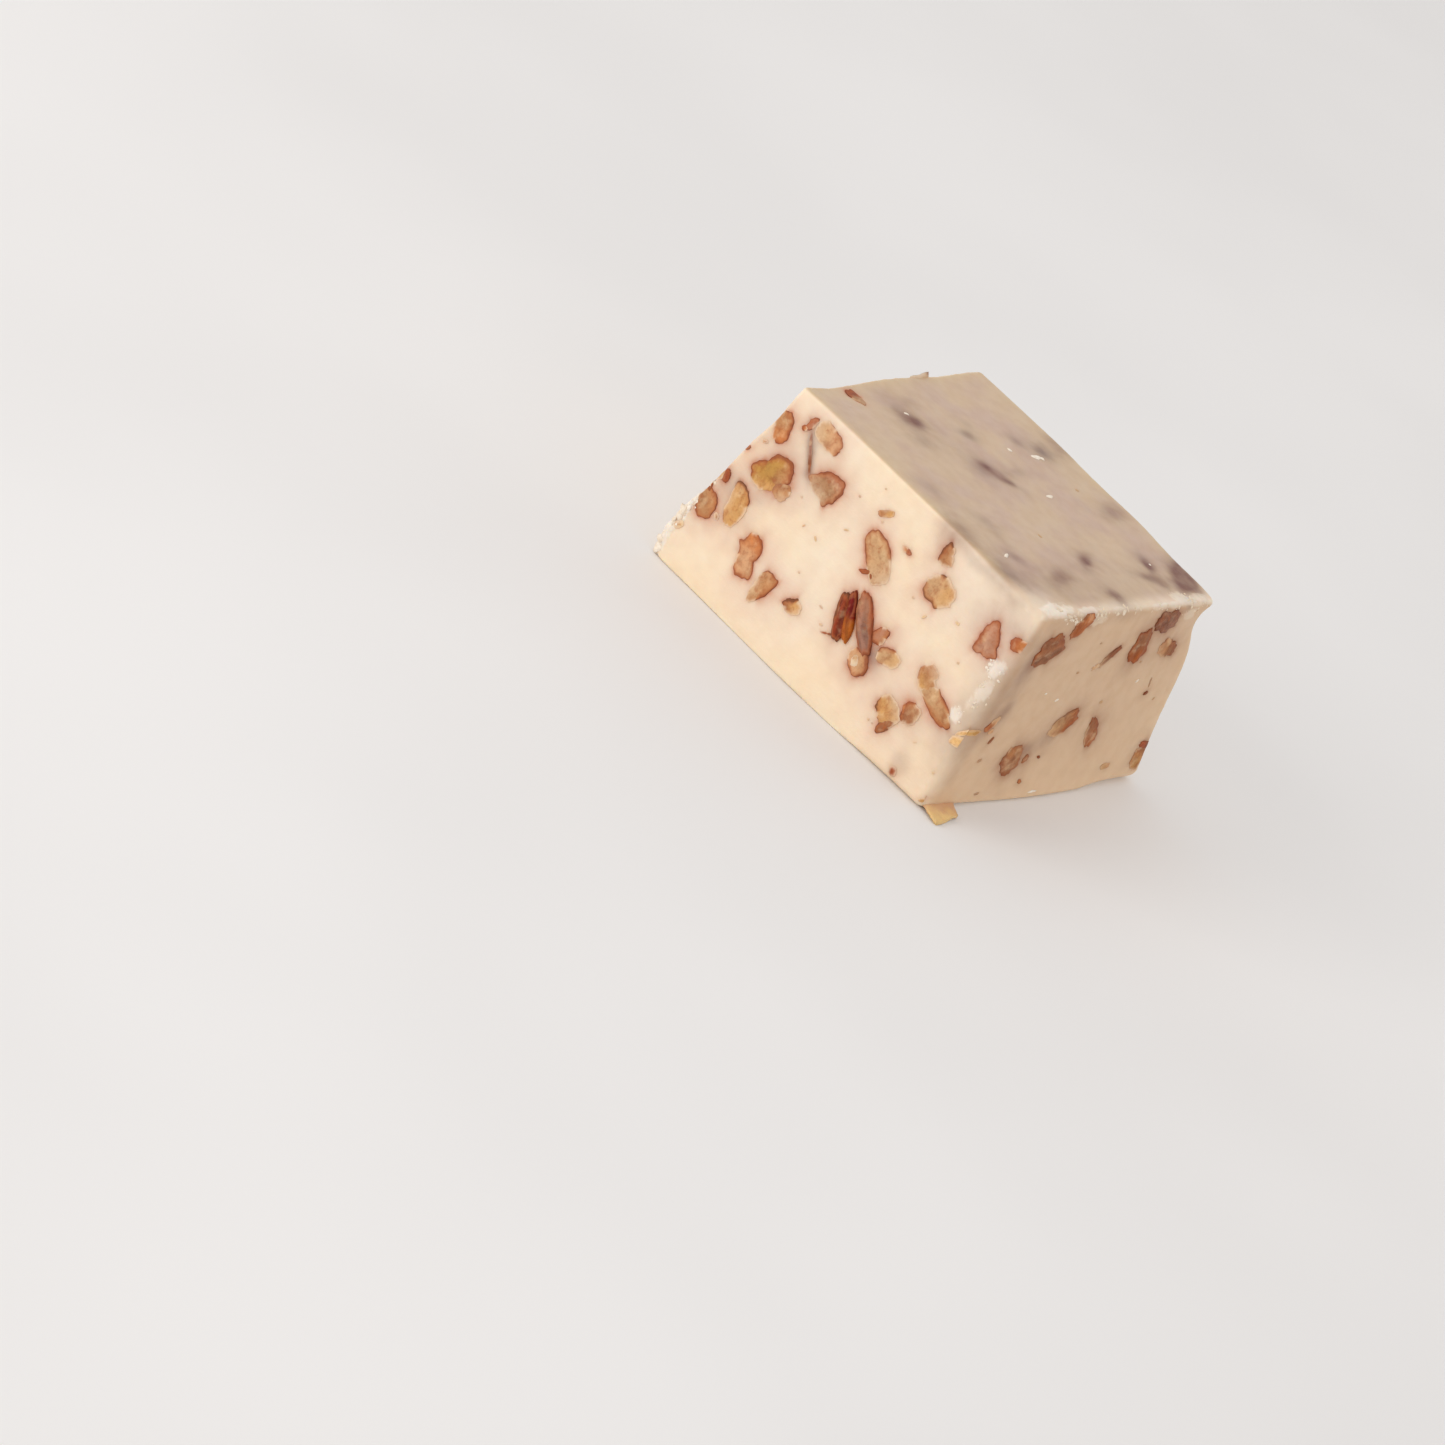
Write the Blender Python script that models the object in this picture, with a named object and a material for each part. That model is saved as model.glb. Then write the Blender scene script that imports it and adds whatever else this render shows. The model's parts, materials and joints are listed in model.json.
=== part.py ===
"""Pecan fudge: one hand-cut block of cream fudge with chopped pecans set in its cut faces.

Metres, +Z up. The block rests on its flat base. Front is -Y, the right end is +X.
Lengths and places in the tables below are millimetres, measured from a point near the middle
of the base; ORIGIN is where the middle of the finished piece lies from there, and becomes 0, 0, 0.
"""

import math
import random

import bmesh
import bpy
from mathutils import Vector, noise

MM = 0.001
ORIGIN = (0.76, 0.28, 0.0)

# Block: the eight corners before rounding, keyed by their signs along X, Y and Z
HEIGHT = 35.6
CORNERS = {
    (-1, -1, 1): (-25.4, -25.8, HEIGHT + 0.2),
    (1, -1, 1): (28.4, -26.8, HEIGHT),
    (-1, 1, 1): (-27.6, 25.1, HEIGHT - 0.4),
    (1, 1, 1): (27.8, 24.1, HEIGHT - 1.5),
    (-1, -1, -1): (-31.2, -29.5, 0.0),
    (1, -1, -1): (29.5, -28.9, 0.0),
    (-1, 1, -1): (-29.9, 28.1, 0.0),
    (1, 1, -1): (31.6, 30.9, 0.0),
}
HALF = (28.5, 26.6, 17.7)

# Rounding radius of each edge, keyed by the signs of the two faces that meet there
PLAIN_RADIUS = 1.0
EDGE_RADII = {
    (-1, -1, 0): 0.6,
    (1, -1, 0): 1.8,
    (-1, 1, 0): 1.5,
    (1, 1, 0): 2.0,
    (0, -1, 1): 0.8,
    (1, 0, 1): 1.3,
    (-1, 0, 1): 0.9,
    (0, 1, 1): 1.1,
    (0, -1, -1): 0.4,
    (1, 0, -1): 1.1,
    (-1, 0, -1): 0.8,
    (0, 1, -1): 4.6,
}
EDGE_STEPS = (0.0, 0.45, 1.1, 2.2, 4.4)
INNER_STEP = 5.6

# The base rests on its middle and on four spots near its corners, and clears the table between them.
FOOT_INSET = 4.4
FOOT_RADIUS = 1.0
BASE_LIFT = 0.06
BASE_MIDDLE = (0.7, 0.8)

# Unevenness of the hand-cut faces and of the crumbling edges
WAVE_HEIGHT = 0.22
WAVE_SCALE = 0.085
CRUMB_HEIGHT = 0.75
CRUMB_SCALE = 0.42

# Where the block swells or sinks: the middle, the reach along each axis, and the push
SWELLS = (
    ((0, 26, 34), (24, 8, 30), (0, 1.3, 0.2)),
    ((-31, 0, 7), (5, 90, 6), (-0.9, 0, 0)),
    ((-26, 0, 29), (4, 90, 4.5), (0.4, 0, 0)),
    ((0, -29, 0), (18, 5, 7), (0, -0.5, 0)),
    ((30, 0, 0), (5, 18, 7), (0.6, 0, 0)),
    ((-25, -17, 36), (4, 7, 3), (0, 0, -0.8)),
)

# Pecans: how far a piece keeps from its pocket, and how it is divided
CLEARANCE = 0.3
SEGMENTS = 14
RINGS = ((0.62, 0.85), (1.0, 0.12))
SUNK_RINGS = ((0.88, -0.42), (0.5, -0.84))
POCKET_TOP = 1.6

# Faces: the axis that points out and its sign, then the axes that u and v run along
FACES = {
    "front": (1, -1, 0, 2),
    "back": (1, 1, 0, 2),
    "end": (0, 1, 1, 2),
    "far": (0, -1, 1, 2),
    "top": (2, 1, 0, 1),
    "base": (2, -1, 0, 1),
}

# Tones of the nut meat and its skin
TONES = {
    "tan": (0.69, 0.50, 0.35),
    "gold": (0.83, 0.66, 0.40),
    "olive": (0.70, 0.56, 0.30),
    "beige": (0.82, 0.68, 0.52),
    "russet": (0.62, 0.36, 0.22),
    "mahogany": (0.36, 0.12, 0.05),
    "cream": (0.955, 0.875, 0.765),
}

# Pecans that show: face, u, v, tone, proud, depth, then the lobes as
# (du, dv, length, width, angle, taper, bend, waist, square)
SHOWN = {
    "pecan_front_01": ("front", -24.3, 28.6, "tan", 0.25, 2.0, ((0, 0, 5.0, 2.8, 108, 0.1, 0, 0, 2.2),)),
    "pecan_front_02": ("front", -17.2, 32.4, "beige", 0.2, 1.8, ((0, 0, 5.9, 3.3, -8, 0.1, 0, 0.1, 3.0),)),
    "pecan_front_03": ("front", -21.3, 22.8, "olive", 0.35, 2.8, ((0, 0, 7.0, 4.9, 28, 0.1, 0, 0.1, 2.4),)),
    "pecan_front_04": ("front", -12.9, 26.9, "tan", 0.3, 2.6, ((0, 0, 6.2, 4.5, 20, 0.35, 0, 0, 2.6),)),
    "pecan_front_05": ("front", -27.6, 11.4, "tan", 0.3, 2.2, ((0, 0, 4.3, 3.2, 115, 0, 0, 0, 2.3),)),
    "pecan_front_06": ("front", -23.4, 14.6, "gold", 0.3, 2.2, ((0, 0, 6.5, 3.1, 98, 0.3, 0.2, 0, 2.5),)),
    "pecan_front_07": ("front", -16.7, 10.4, "tan", 0.35, 2.6, ((0, 0, 7.0, 3.6, 106, -0.1, 0.05, 0.2, 2.4),)),
    "pecan_front_08": ("front", -12.0, 8.3, "tan", 0.25, 2.0, ((0, 0, 5.2, 2.6, 78, 0.3, -0.25, 0, 2.4),)),
    "pecan_front_09": ("front", -5.8, 9.8, "tan", 0.2, 1.6, ((0, 0, 2.9, 2.1, 20, -0.2, 0, 0, 2.6),)),
    "pecan_front_10": ("front", 0.8, 24.1, "beige", 0.35, 2.6, ((0, 0, 8.1, 4.0, -43, -0.1, 0, 0, 2.6),)),
    "pecan_front_11": (
        "front",
        4.6,
        14.4,
        "mahogany",
        0.95,
        2.8,
        (
            (-2.1, 0.1, 7.4, 3.5, -66, 0, 0, 0, 3.0),
            (0.5, 1.1, 8.8, 3.3, -58, 0, 0, 0, 2.4),
            (2.9, -3.6, 4.2, 3.7, -40, 0, 0, 0, 2.2),
        ),
    ),
    "pecan_front_12": ("front", 8.8, 16.0, "russet", 0.25, 1.8, ((0, 0, 2.9, 1.9, 62, 0, 0, 0, 2.4),)),
    "pecan_front_13": ("front", 11.8, 14.1, "gold", 0.25, 2.0, ((0, 0, 3.9, 2.6, 5, 0, 0, 0, 2.5),)),
    "pecan_front_14": ("front", 9.9, 32.0, "tan", 0.2, 1.8, ((0, 0, 3.3, 2.1, 105, -0.4, 0, 0, 2.6),)),
    "pecan_front_15": ("front", 12.5, 27.4, "gold", 0.35, 2.6, ((0, 0, 4.9, 4.1, -10, 0, 0, 0, 2.5),)),
    "pecan_front_16": ("front", 22.9, 27.1, "russet", 0.3, 2.4, ((0, 0, 6.1, 3.8, 112, -0.4, 0, 0, 2.8),)),
    "pecan_front_17": ("front", 27.1, 29.6, "russet", 0.2, 1.4, ((0, 0, 2.6, 1.7, 15, 0, 0, 0, 2.4),)),
    "pecan_front_18": (
        "front",
        21.2,
        15.1,
        "tan",
        0.35,
        2.4,
        ((0.9, -0.7, 7.6, 3.2, -20, -0.1, 0.1, 0, 2.4), (-2.6, 1.3, 3.6, 2.6, 10, 0, 0, 0, 2.3)),
    ),
    "pecan_front_19": (
        "front",
        17.7,
        8.8,
        "tan",
        0.3,
        2.2,
        ((-0.8, -0.5, 5.6, 3.8, -38, 0, 0, 0, 2.6), (2.0, 1.5, 3.9, 2.6, -62, 0, 0, 0, 2.3)),
    ),
    "pecan_end_01": ("end", -20.1, 29.4, "russet", 0.3, 2.4, ((0, 0, 6.4, 4.5, 14, 0, 0, 0, 2.5),)),
    "pecan_end_02": ("end", -14.6, 32.4, "russet", 0.2, 1.8, ((0, 0, 4.0, 2.2, 22, 0, 0, 0, 2.5),)),
    "pecan_end_03": ("end", 11.5, 31.2, "mahogany", 0.3, 2.2, ((0, 0, 6.2, 3.2, -6, 0, 0, 0, 2.5),)),
    "pecan_end_04": ("end", 6.9, 26.6, "russet", 0.3, 2.2, ((0, 0, 4.9, 4.0, 100, 0, 0, 0, 2.5),)),
    "pecan_end_05": ("end", 16.3, 26.3, "tan", 0.2, 1.8, ((0, 0, 4.8, 2.5, -12, 0, 0, 0, 2.4),)),
    "pecan_end_06": ("end", -2.7, 14.3, "tan", 0.25, 2.2, ((0, 0, 6.0, 2.9, 28, 0, 0, 0, 2.5),)),
    "pecan_end_07": ("end", 6.9, 12.0, "russet", 0.2, 1.8, ((0, 0, 4.7, 2.4, 118, -0.3, 0, 0, 2.5),)),
    "pecan_end_08": ("end", -12.9, 8.5, "russet", 0.3, 2.2, ((0, 0, 4.8, 3.8, 110, 0, 0, 0, 2.3),)),
    "pecan_end_09": ("end", 25.2, 6.0, "tan", 0.2, 1.6, ((0, 0, 3.8, 2.3, 104, 0, 0, 0, 2.4),)),
}

# Pecans of the other faces: face, how many, room kept to the edges, highest stand-out, tones
SCATTERED = (
    ("back", 8, 4.2, 0.3, ("tan", "gold", "tan", "russet", "beige")),
    ("far", 5, 4.4, 0.3, ("tan", "russet", "gold")),
    ("base", 4, 7.0, -0.35, ("tan", "beige", "russet")),
)
SCATTER_LENGTH = (3.4, 7.2)
SCATTER_SHAPE = (0.5, 0.78)
SCATTER_ROOM = 3.0
BASE_KEPT_CLEAR = 9.0

# Flakes that stick out of an edge: corners of the thin plate, then its thickness
FLAKES = {
    "pecan_flake_top": ((-25.4, 3.4, 33.4), (-25.2, 10.4, 33.2), (-27.3, 10.2, 35.8), (-26.7, 4.6, 35.7), 0.9),
    "pecan_flake_corner": ((28.2, -26.2, 1.2), (28.0, -21.6, 1.1), (32.9, -22.0, 0.7), (32.4, -26.0, 0.8), 0.8),
}


def clear_scene():
    """Remove every object of the startup scene."""
    for obj in list(bpy.data.objects):
        bpy.data.objects.remove(obj)


def ramp(value, low, high):
    """0 below low, 1 above high, smooth between."""
    share = min(1.0, max(0.0, (value - low) / (high - low)))
    return share * share * (3 - 2 * share)


def edge_radius(cube):
    """The rounding radius near this point of the cube from -1 to 1."""
    weights = 0.02
    total = 0.02 * PLAIN_RADIUS
    for signs, radius in EDGE_RADII.items():
        weight = 1.0
        for sign, along in zip(signs, cube):
            if sign:
                weight *= ramp(sign * along, 0.35, 0.85)
        weights += weight
        total += weight * radius
    return total / weights


def corner_blend(cube):
    """The point of the cornered block that this point of the cube from -1 to 1 stands for."""
    point = Vector((0, 0, 0))
    for signs, corner in CORNERS.items():
        share = 1.0
        for sign, along in zip(signs, cube):
            share *= (1 + sign * along) / 2
        point += share * Vector(corner)
    return point


def base_lift(cube):
    """How far the flat of the base clears the table under this point of the cube."""
    away = [abs(along) * half - half + FOOT_INSET for along, half in zip(cube[:2], HALF)]
    foot = max(0.0, 1 - math.hypot(*away) / FOOT_RADIUS)
    outside = ramp(max(abs(cube[0]), abs(cube[1])), *BASE_MIDDLE)
    return BASE_LIFT * outside * (1 - foot)


def block_point(cube):
    """The point of the block's surface for a point on the surface of the cube from -1 to 1."""
    radius = edge_radius(cube)
    inner = []
    out = []
    for along, half in zip(cube, HALF):
        room = half - radius
        kept = min(room, max(-room, along * half))
        inner.append(kept)
        out.append(along * half - kept)
    normal = Vector(out).normalized()
    rounded = [(kept + radius * way) / half for kept, way, half in zip(inner, normal, HALF)]
    point = corner_blend(rounded)
    above_base = 1 - ramp(-normal.z, 0.1, 0.9)
    wave = WAVE_HEIGHT * noise.noise(point * WAVE_SCALE + Vector((3.1, 1.7, 9.2)))
    edge = ramp(1 - max(abs(way) for way in normal), 0.02, 0.25)
    crumb = CRUMB_HEIGHT * edge * min(0.0, noise.noise(point * CRUMB_SCALE) - 0.05)
    point += normal * (wave + crumb) * above_base
    start = point.copy()
    for middle, reach, push in SWELLS:
        far = sum(((place - at) / length) ** 2 for place, at, length in zip(start, middle, reach))
        point += Vector(push) * math.exp(-far) * (above_base if normal.z < -0.999 else 1)
    point.z = max(base_lift(cube) if normal.z < -0.999 else 0.0, point.z)
    return point


def grid_lines(half):
    """Grid positions along one axis, from -1 to 1, close together near the edges."""
    close = [step / half for step in EDGE_STEPS]
    span = 2 - 2 * close[-1]
    count = max(2, round(span * half / INNER_STEP))
    lines = [-1 + step for step in close]
    lines += [-1 + close[-1] + span * i / count for i in range(1, count)]
    lines += [1 - step for step in reversed(close)]
    return lines


def block_mesh():
    """The rounded, uneven block as a bmesh in metres."""
    mesh = bmesh.new()
    lines = [grid_lines(half) for half in HALF]
    corners = {}

    def corner(cube):
        key = tuple(round(along, 6) for along in cube)
        if key not in corners:
            corners[key] = mesh.verts.new(block_point(cube) * MM)
        return corners[key]

    for out_axis, sign, u_axis, v_axis in FACES.values():
        for u_pair in zip(lines[u_axis], lines[u_axis][1:]):
            for v_pair in zip(lines[v_axis], lines[v_axis][1:]):
                loop = []
                for i, j in ((0, 0), (1, 0), (1, 1), (0, 1)):
                    cube = [0.0, 0.0, 0.0]
                    cube[out_axis] = float(sign)
                    cube[u_axis] = u_pair[i]
                    cube[v_axis] = v_pair[j]
                    loop.append(corner(cube))
                mesh.faces.new(loop)
    bmesh.ops.recalc_face_normals(mesh, faces=mesh.faces)
    bmesh.ops.triangulate(mesh, faces=mesh.faces)
    return mesh


def on_face(face, u, v):
    """The surface point of a face whose u and v are the millimetres given."""
    out_axis, sign, u_axis, v_axis = FACES[face]
    cube = [0.0, 0.0, 0.0]
    cube[out_axis] = float(sign)
    cube[u_axis] = u / HALF[u_axis]
    cube[v_axis] = v / HALF[v_axis] - (1 if v_axis == 2 else 0)
    for _ in range(8):
        point = block_point(cube)
        cube[u_axis] += (u - point[u_axis]) / HALF[u_axis]
        cube[v_axis] += (v - point[v_axis]) / HALF[v_axis]
        cube[u_axis] = min(1.0, max(-1.0, cube[u_axis]))
        cube[v_axis] = min(1.0, max(-1.0, cube[v_axis]))
    return block_point(cube)


def face_normal(face, u, v):
    """The outward normal of a face near u, v."""
    out_axis, sign, _, _ = FACES[face]
    step = 1.5
    along_u = on_face(face, u + step, v) - on_face(face, u - step, v)
    along_v = on_face(face, u, v + step) - on_face(face, u, v - step)
    normal = along_u.cross(along_v).normalized()
    return normal if normal[out_axis] * sign > 0 else -normal


def lobe_outline(lobe, seed, grow):
    """The outline of one lobe round its middle, in millimetres."""
    _, _, length, width, angle, taper, bend, waist, square = lobe
    wobble = random.Random(seed)
    waves = [(count, wobble.uniform(0, math.tau), wobble.uniform(0.015, 0.05)) for count in (2, 3, 5)]
    turn = math.radians(angle)
    outline = []
    for i in range(SEGMENTS):
        way = math.tau * i / SEGMENTS
        size = (abs(math.cos(way)) ** square + abs(math.sin(way)) ** square) ** (-1 / square)
        size *= 1 + sum(height * math.sin(count * way + start) for count, start, height in waves)
        along = math.cos(way) * size
        across = math.sin(way) * size
        across *= (1 + taper * along) * (1 - waist * math.exp(-((along / 0.35) ** 2)))
        x = along * length / 2
        y = across * width / 2 + bend * width * (along * along - 0.4)
        far = math.hypot(x, y)
        x += grow * x / far
        y += grow * y / far
        outline.append((x * math.cos(turn) - y * math.sin(turn), x * math.sin(turn) + y * math.cos(turn)))
    return outline


def lobe_mesh(face, u, v, lobe, proud, depth, seed, grow):
    """One lobe of a piece as a closed bmesh; grow over 0 makes the pocket that it sits in."""
    mesh = bmesh.new()
    middle_u = u + lobe[0]
    middle_v = v + lobe[1]
    normal = face_normal(face, middle_u, middle_v)
    middle = on_face(face, middle_u, middle_v)
    outline = lobe_outline(lobe, seed, grow)
    if grow:
        rings = ((1.0, POCKET_TOP), (1.0, 0.12)) + tuple((share, drop * (depth + grow)) for share, drop in SUNK_RINGS)
        top = POCKET_TOP
        bottom = -(depth + grow)
    else:
        lift = max(proud, 0.0)
        sink = min(proud, 0.0)
        rings = tuple((share, rise * lift + sink) for share, rise in RINGS)
        rings += tuple((share, drop * depth) for share, drop in SUNK_RINGS)
        top = proud
        bottom = -depth
    loops = []
    for share, rise in rings:
        loop = []
        for du, dv in outline:
            point = on_face(face, middle_u + du * share, middle_v + dv * share)
            loop.append(mesh.verts.new((point + normal * rise) * MM))
        loops.append(loop)
    ends = (mesh.verts.new((middle + normal * top) * MM), mesh.verts.new((middle + normal * bottom) * MM))
    for i in range(SEGMENTS):
        j = (i + 1) % SEGMENTS
        mesh.faces.new((ends[0], loops[0][i], loops[0][j]))
        for upper, lower in zip(loops, loops[1:]):
            mesh.faces.new((upper[i], lower[i], lower[j], upper[j]))
        mesh.faces.new((ends[1], loops[-1][j], loops[-1][i]))
    bmesh.ops.recalc_face_normals(mesh, faces=mesh.faces)
    bmesh.ops.triangulate(mesh, faces=mesh.faces)
    return mesh


def flake_mesh(corners, thickness, grow):
    """A thin bent plate with chipped corners, as a closed bmesh; grow over 0 makes its pocket."""
    mesh = bmesh.new()
    points = [Vector(corner) for corner in corners]
    middle = sum(points, Vector()) / len(points)
    normal = (points[1] - points[0]).cross(points[2] - points[0]).normalized()
    rim = []
    for i, point in enumerate(points):
        after = points[(i + 1) % len(points)]
        for share in (0.1, 0.5, 0.9):
            spot = point.lerp(after, share)
            way = (spot - middle).normalized()
            rim.append(spot + way * (grow + 0.25 * noise.noise(spot * 0.7)))
    loops = []
    for rise, share in ((0.5, 0.9), (0.0, 1.0), (-0.5, 0.9)):
        shift = normal * rise * (thickness + 2 * grow)
        loops.append([mesh.verts.new((middle.lerp(spot, share) + shift) * MM) for spot in rim])
    count = len(rim)
    for i in range(count):
        j = (i + 1) % count
        for upper, lower in zip(loops, loops[1:]):
            mesh.faces.new((upper[i], lower[i], lower[j], upper[j]))
    mesh.faces.new(loops[0])
    mesh.faces.new(reversed(loops[-1]))
    bmesh.ops.recalc_face_normals(mesh, faces=mesh.faces)
    bmesh.ops.triangulate(mesh, faces=mesh.faces)
    return mesh


def finish(name, tone, roughness):
    """A Principled material of its own for one object."""
    material = bpy.data.materials.new(name + "_finish")
    material.use_nodes = True
    shader = material.node_tree.nodes["Principled BSDF"]
    colour = [((share + 0.055) / 1.055) ** 2.4 for share in TONES[tone]]
    shader.inputs["Base Color"].default_value = (*colour, 1)
    shader.inputs["Roughness"].default_value = roughness
    shader.inputs["Metallic"].default_value = 0.0
    return material


def add_object(name, mesh, tone=None, roughness=0.5, smooth=True):
    """Link a bmesh as an object; without a tone it is a hidden cutter."""
    bmesh.ops.translate(mesh, verts=mesh.verts, vec=-MM * Vector(ORIGIN))
    data = bpy.data.meshes.new(name)
    mesh.to_mesh(data)
    mesh.free()
    obj = bpy.data.objects.new(name, data)
    bpy.context.scene.collection.objects.link(obj)
    if tone:
        data.materials.append(finish(name, tone, roughness))
        data.polygons.foreach_set("use_smooth", [smooth] * len(data.polygons))
    else:
        obj.hide_render = True
        obj.display_type = "WIRE"
    return obj


def combine(obj, other, operation, solver):
    """Add a Boolean of obj with another object."""
    boolean = obj.modifiers.new(operation.title() + " " + other.name, "BOOLEAN")
    boolean.operation = operation
    boolean.solver = solver
    boolean.object = other


def add_pecan(name, placing, seed, block):
    """One pecan piece of one or more lobes, and the pocket for each lobe in the block."""
    face, u, v, tone, proud, depth, lobes = placing
    whole = None
    for count, lobe in enumerate(lobes):
        lobe_seed = seed * 10 + count
        shape = lobe_mesh(face, u, v, lobe, proud, depth, lobe_seed, 0.0)
        if whole is None:
            whole = add_object(name, shape, tone, 0.42)
        else:
            extra = add_object(f"{name}_lobe_{count}", shape)
            combine(whole, extra, "UNION", "MANIFOLD")
        pocket = lobe_mesh(face, u, v, lobe, proud, depth, lobe_seed, CLEARANCE)
        cutter = add_object(f"{name}_pocket_{count}", pocket)
        combine(block, cutter, "DIFFERENCE", "MANIFOLD")


def add_flake(name, placing, block):
    """One flake and the slot it sits in."""
    *corners, thickness = placing
    add_object(name, flake_mesh(corners, thickness, 0.0), "gold", 0.45)
    cutter = add_object(name + "_slot", flake_mesh(corners, thickness, CLEARANCE))
    combine(block, cutter, "DIFFERENCE", "MANIFOLD")


def scattered_pecans():
    """The pieces of the faces turned away, laid out by chance but the same each time."""
    chance = random.Random(41)
    placed = {}
    for face, count, room, stand_out, tones in SCATTERED:
        _, _, u_axis, v_axis = FACES[face]
        taken = []
        while len(taken) < count:
            length = chance.uniform(*SCATTER_LENGTH)
            width = length * chance.uniform(*SCATTER_SHAPE)
            u = chance.uniform(room - HALF[u_axis], HALF[u_axis] - room)
            v = chance.uniform(room - HALF[v_axis], HALF[v_axis] - room)
            if face == "base" and math.hypot(u, v) < BASE_KEPT_CLEAR:
                continue
            if any(math.hypot(u - x, v - y) < (length + other) / 2 + SCATTER_ROOM for x, y, other in taken):
                continue
            taken.append((u, v, length))
            lobe = (0, 0, length, width, chance.uniform(0, 180), chance.uniform(-0.3, 0.3))
            lobe += (chance.uniform(-0.15, 0.15), chance.uniform(0, 0.2), chance.uniform(2.2, 3.0))
            raised = v + HALF[2] if v_axis == 2 else v
            tone = tones[len(taken) % len(tones)]
            name = f"pecan_{face}_{len(taken):02d}"
            placed[name] = (face, u, raised, tone, stand_out, 1.8, (lobe,))
    return placed


def main():
    clear_scene()
    block = add_object("fudge", block_mesh(), "cream", 0.5)
    placings = {**SHOWN, **scattered_pecans()}
    for count, (name, placing) in enumerate(placings.items()):
        add_pecan(name, placing, count + 1, block)
    for name, placing in FLAKES.items():
        add_flake(name, placing, block)


main()
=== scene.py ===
"""Pecan fudge: the dressed piece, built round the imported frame.

A block of cream fudge with pecans cut through on its faces. Lengths and places in the tables are
millimetres, measured as in the frame's drawing; ORIGIN moves them into the frame.
"""

import itertools
import json
import logging
import math
from dataclasses import dataclass, field, replace
from enum import Enum
from typing import NamedTuple

import bmesh
import bpy
import numpy as np
from mathutils import Matrix, Vector


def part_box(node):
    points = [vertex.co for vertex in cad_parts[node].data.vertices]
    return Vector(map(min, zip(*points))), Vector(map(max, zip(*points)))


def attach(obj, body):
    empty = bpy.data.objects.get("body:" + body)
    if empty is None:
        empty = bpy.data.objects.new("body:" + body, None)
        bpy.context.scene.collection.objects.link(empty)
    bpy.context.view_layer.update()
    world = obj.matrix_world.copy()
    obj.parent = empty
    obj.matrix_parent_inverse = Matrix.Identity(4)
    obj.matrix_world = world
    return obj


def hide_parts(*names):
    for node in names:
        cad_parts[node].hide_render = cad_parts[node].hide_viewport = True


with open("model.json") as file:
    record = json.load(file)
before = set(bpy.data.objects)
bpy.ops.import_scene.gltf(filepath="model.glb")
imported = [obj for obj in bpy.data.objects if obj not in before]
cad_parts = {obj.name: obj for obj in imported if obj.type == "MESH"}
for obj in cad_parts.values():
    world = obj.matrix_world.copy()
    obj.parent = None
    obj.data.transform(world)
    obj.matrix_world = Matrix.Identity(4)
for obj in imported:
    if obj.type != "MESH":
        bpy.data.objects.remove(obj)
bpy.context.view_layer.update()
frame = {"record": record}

LOG = logging.getLogger("pecan_fudge")
MM = 0.001
ORIGIN = np.array((0.76, 0.28, 0.0))

Array = np.ndarray
BMesh = bmesh.types.BMesh
Material = bpy.types.Material
Object = bpy.types.Object
Triple = tuple[float, float, float]


def linear(red: float, green: float, blue: float) -> Triple:
    """A colour read off a screen, 0 to 255, as the linear values that a shader takes.

    Args:
        red, green, blue: the screen values.

    Returns:
        The three linear values.
    """
    shares = [value / 255 for value in (red, green, blue)]
    return tuple(s / 12.92 if s <= 0.04045 else ((s + 0.055) / 1.055) ** 2.4 for s in shares)


class Tone(Enum):
    """The colours of nut meat and skin, as they look in soft white light."""

    TAN = linear(200, 147, 102)
    BROWN = linear(178, 122, 86)
    GOLD = linear(219, 170, 110)
    OLIVE = linear(200, 152, 80)
    BEIGE = linear(214, 174, 132)
    ORANGE = linear(212, 138, 84)
    RUSSET = linear(178, 96, 60)
    ROSE = linear(194, 139, 111)
    MAUVE = linear(170, 126, 110)
    MAHOGANY = linear(126, 12, 1)
    AMBER = linear(188, 104, 30)
    IVORY = linear(238, 216, 190)
    UMBER = linear(132, 80, 54)
    STRAW = linear(236, 198, 136)
    PEACH = linear(222, 174, 134)
    CHESTNUT = linear(152, 92, 60)
    RUST = linear(150, 60, 26)
    DUN = linear(188, 144, 106)
    BLUSH = linear(206, 158, 132)
    HONEY = linear(255, 212, 148)


class Face(Enum):
    """The faces: the axis that points out, its sign, then the axes that u and v run along."""

    FRONT = (1, -1, 0, 2)
    BACK = (1, 1, 0, 2)
    END = (0, 1, 1, 2)
    FAR = (0, -1, 1, 2)
    TOP = (2, 1, 0, 1)
    BASE = (2, -1, 0, 1)


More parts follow.
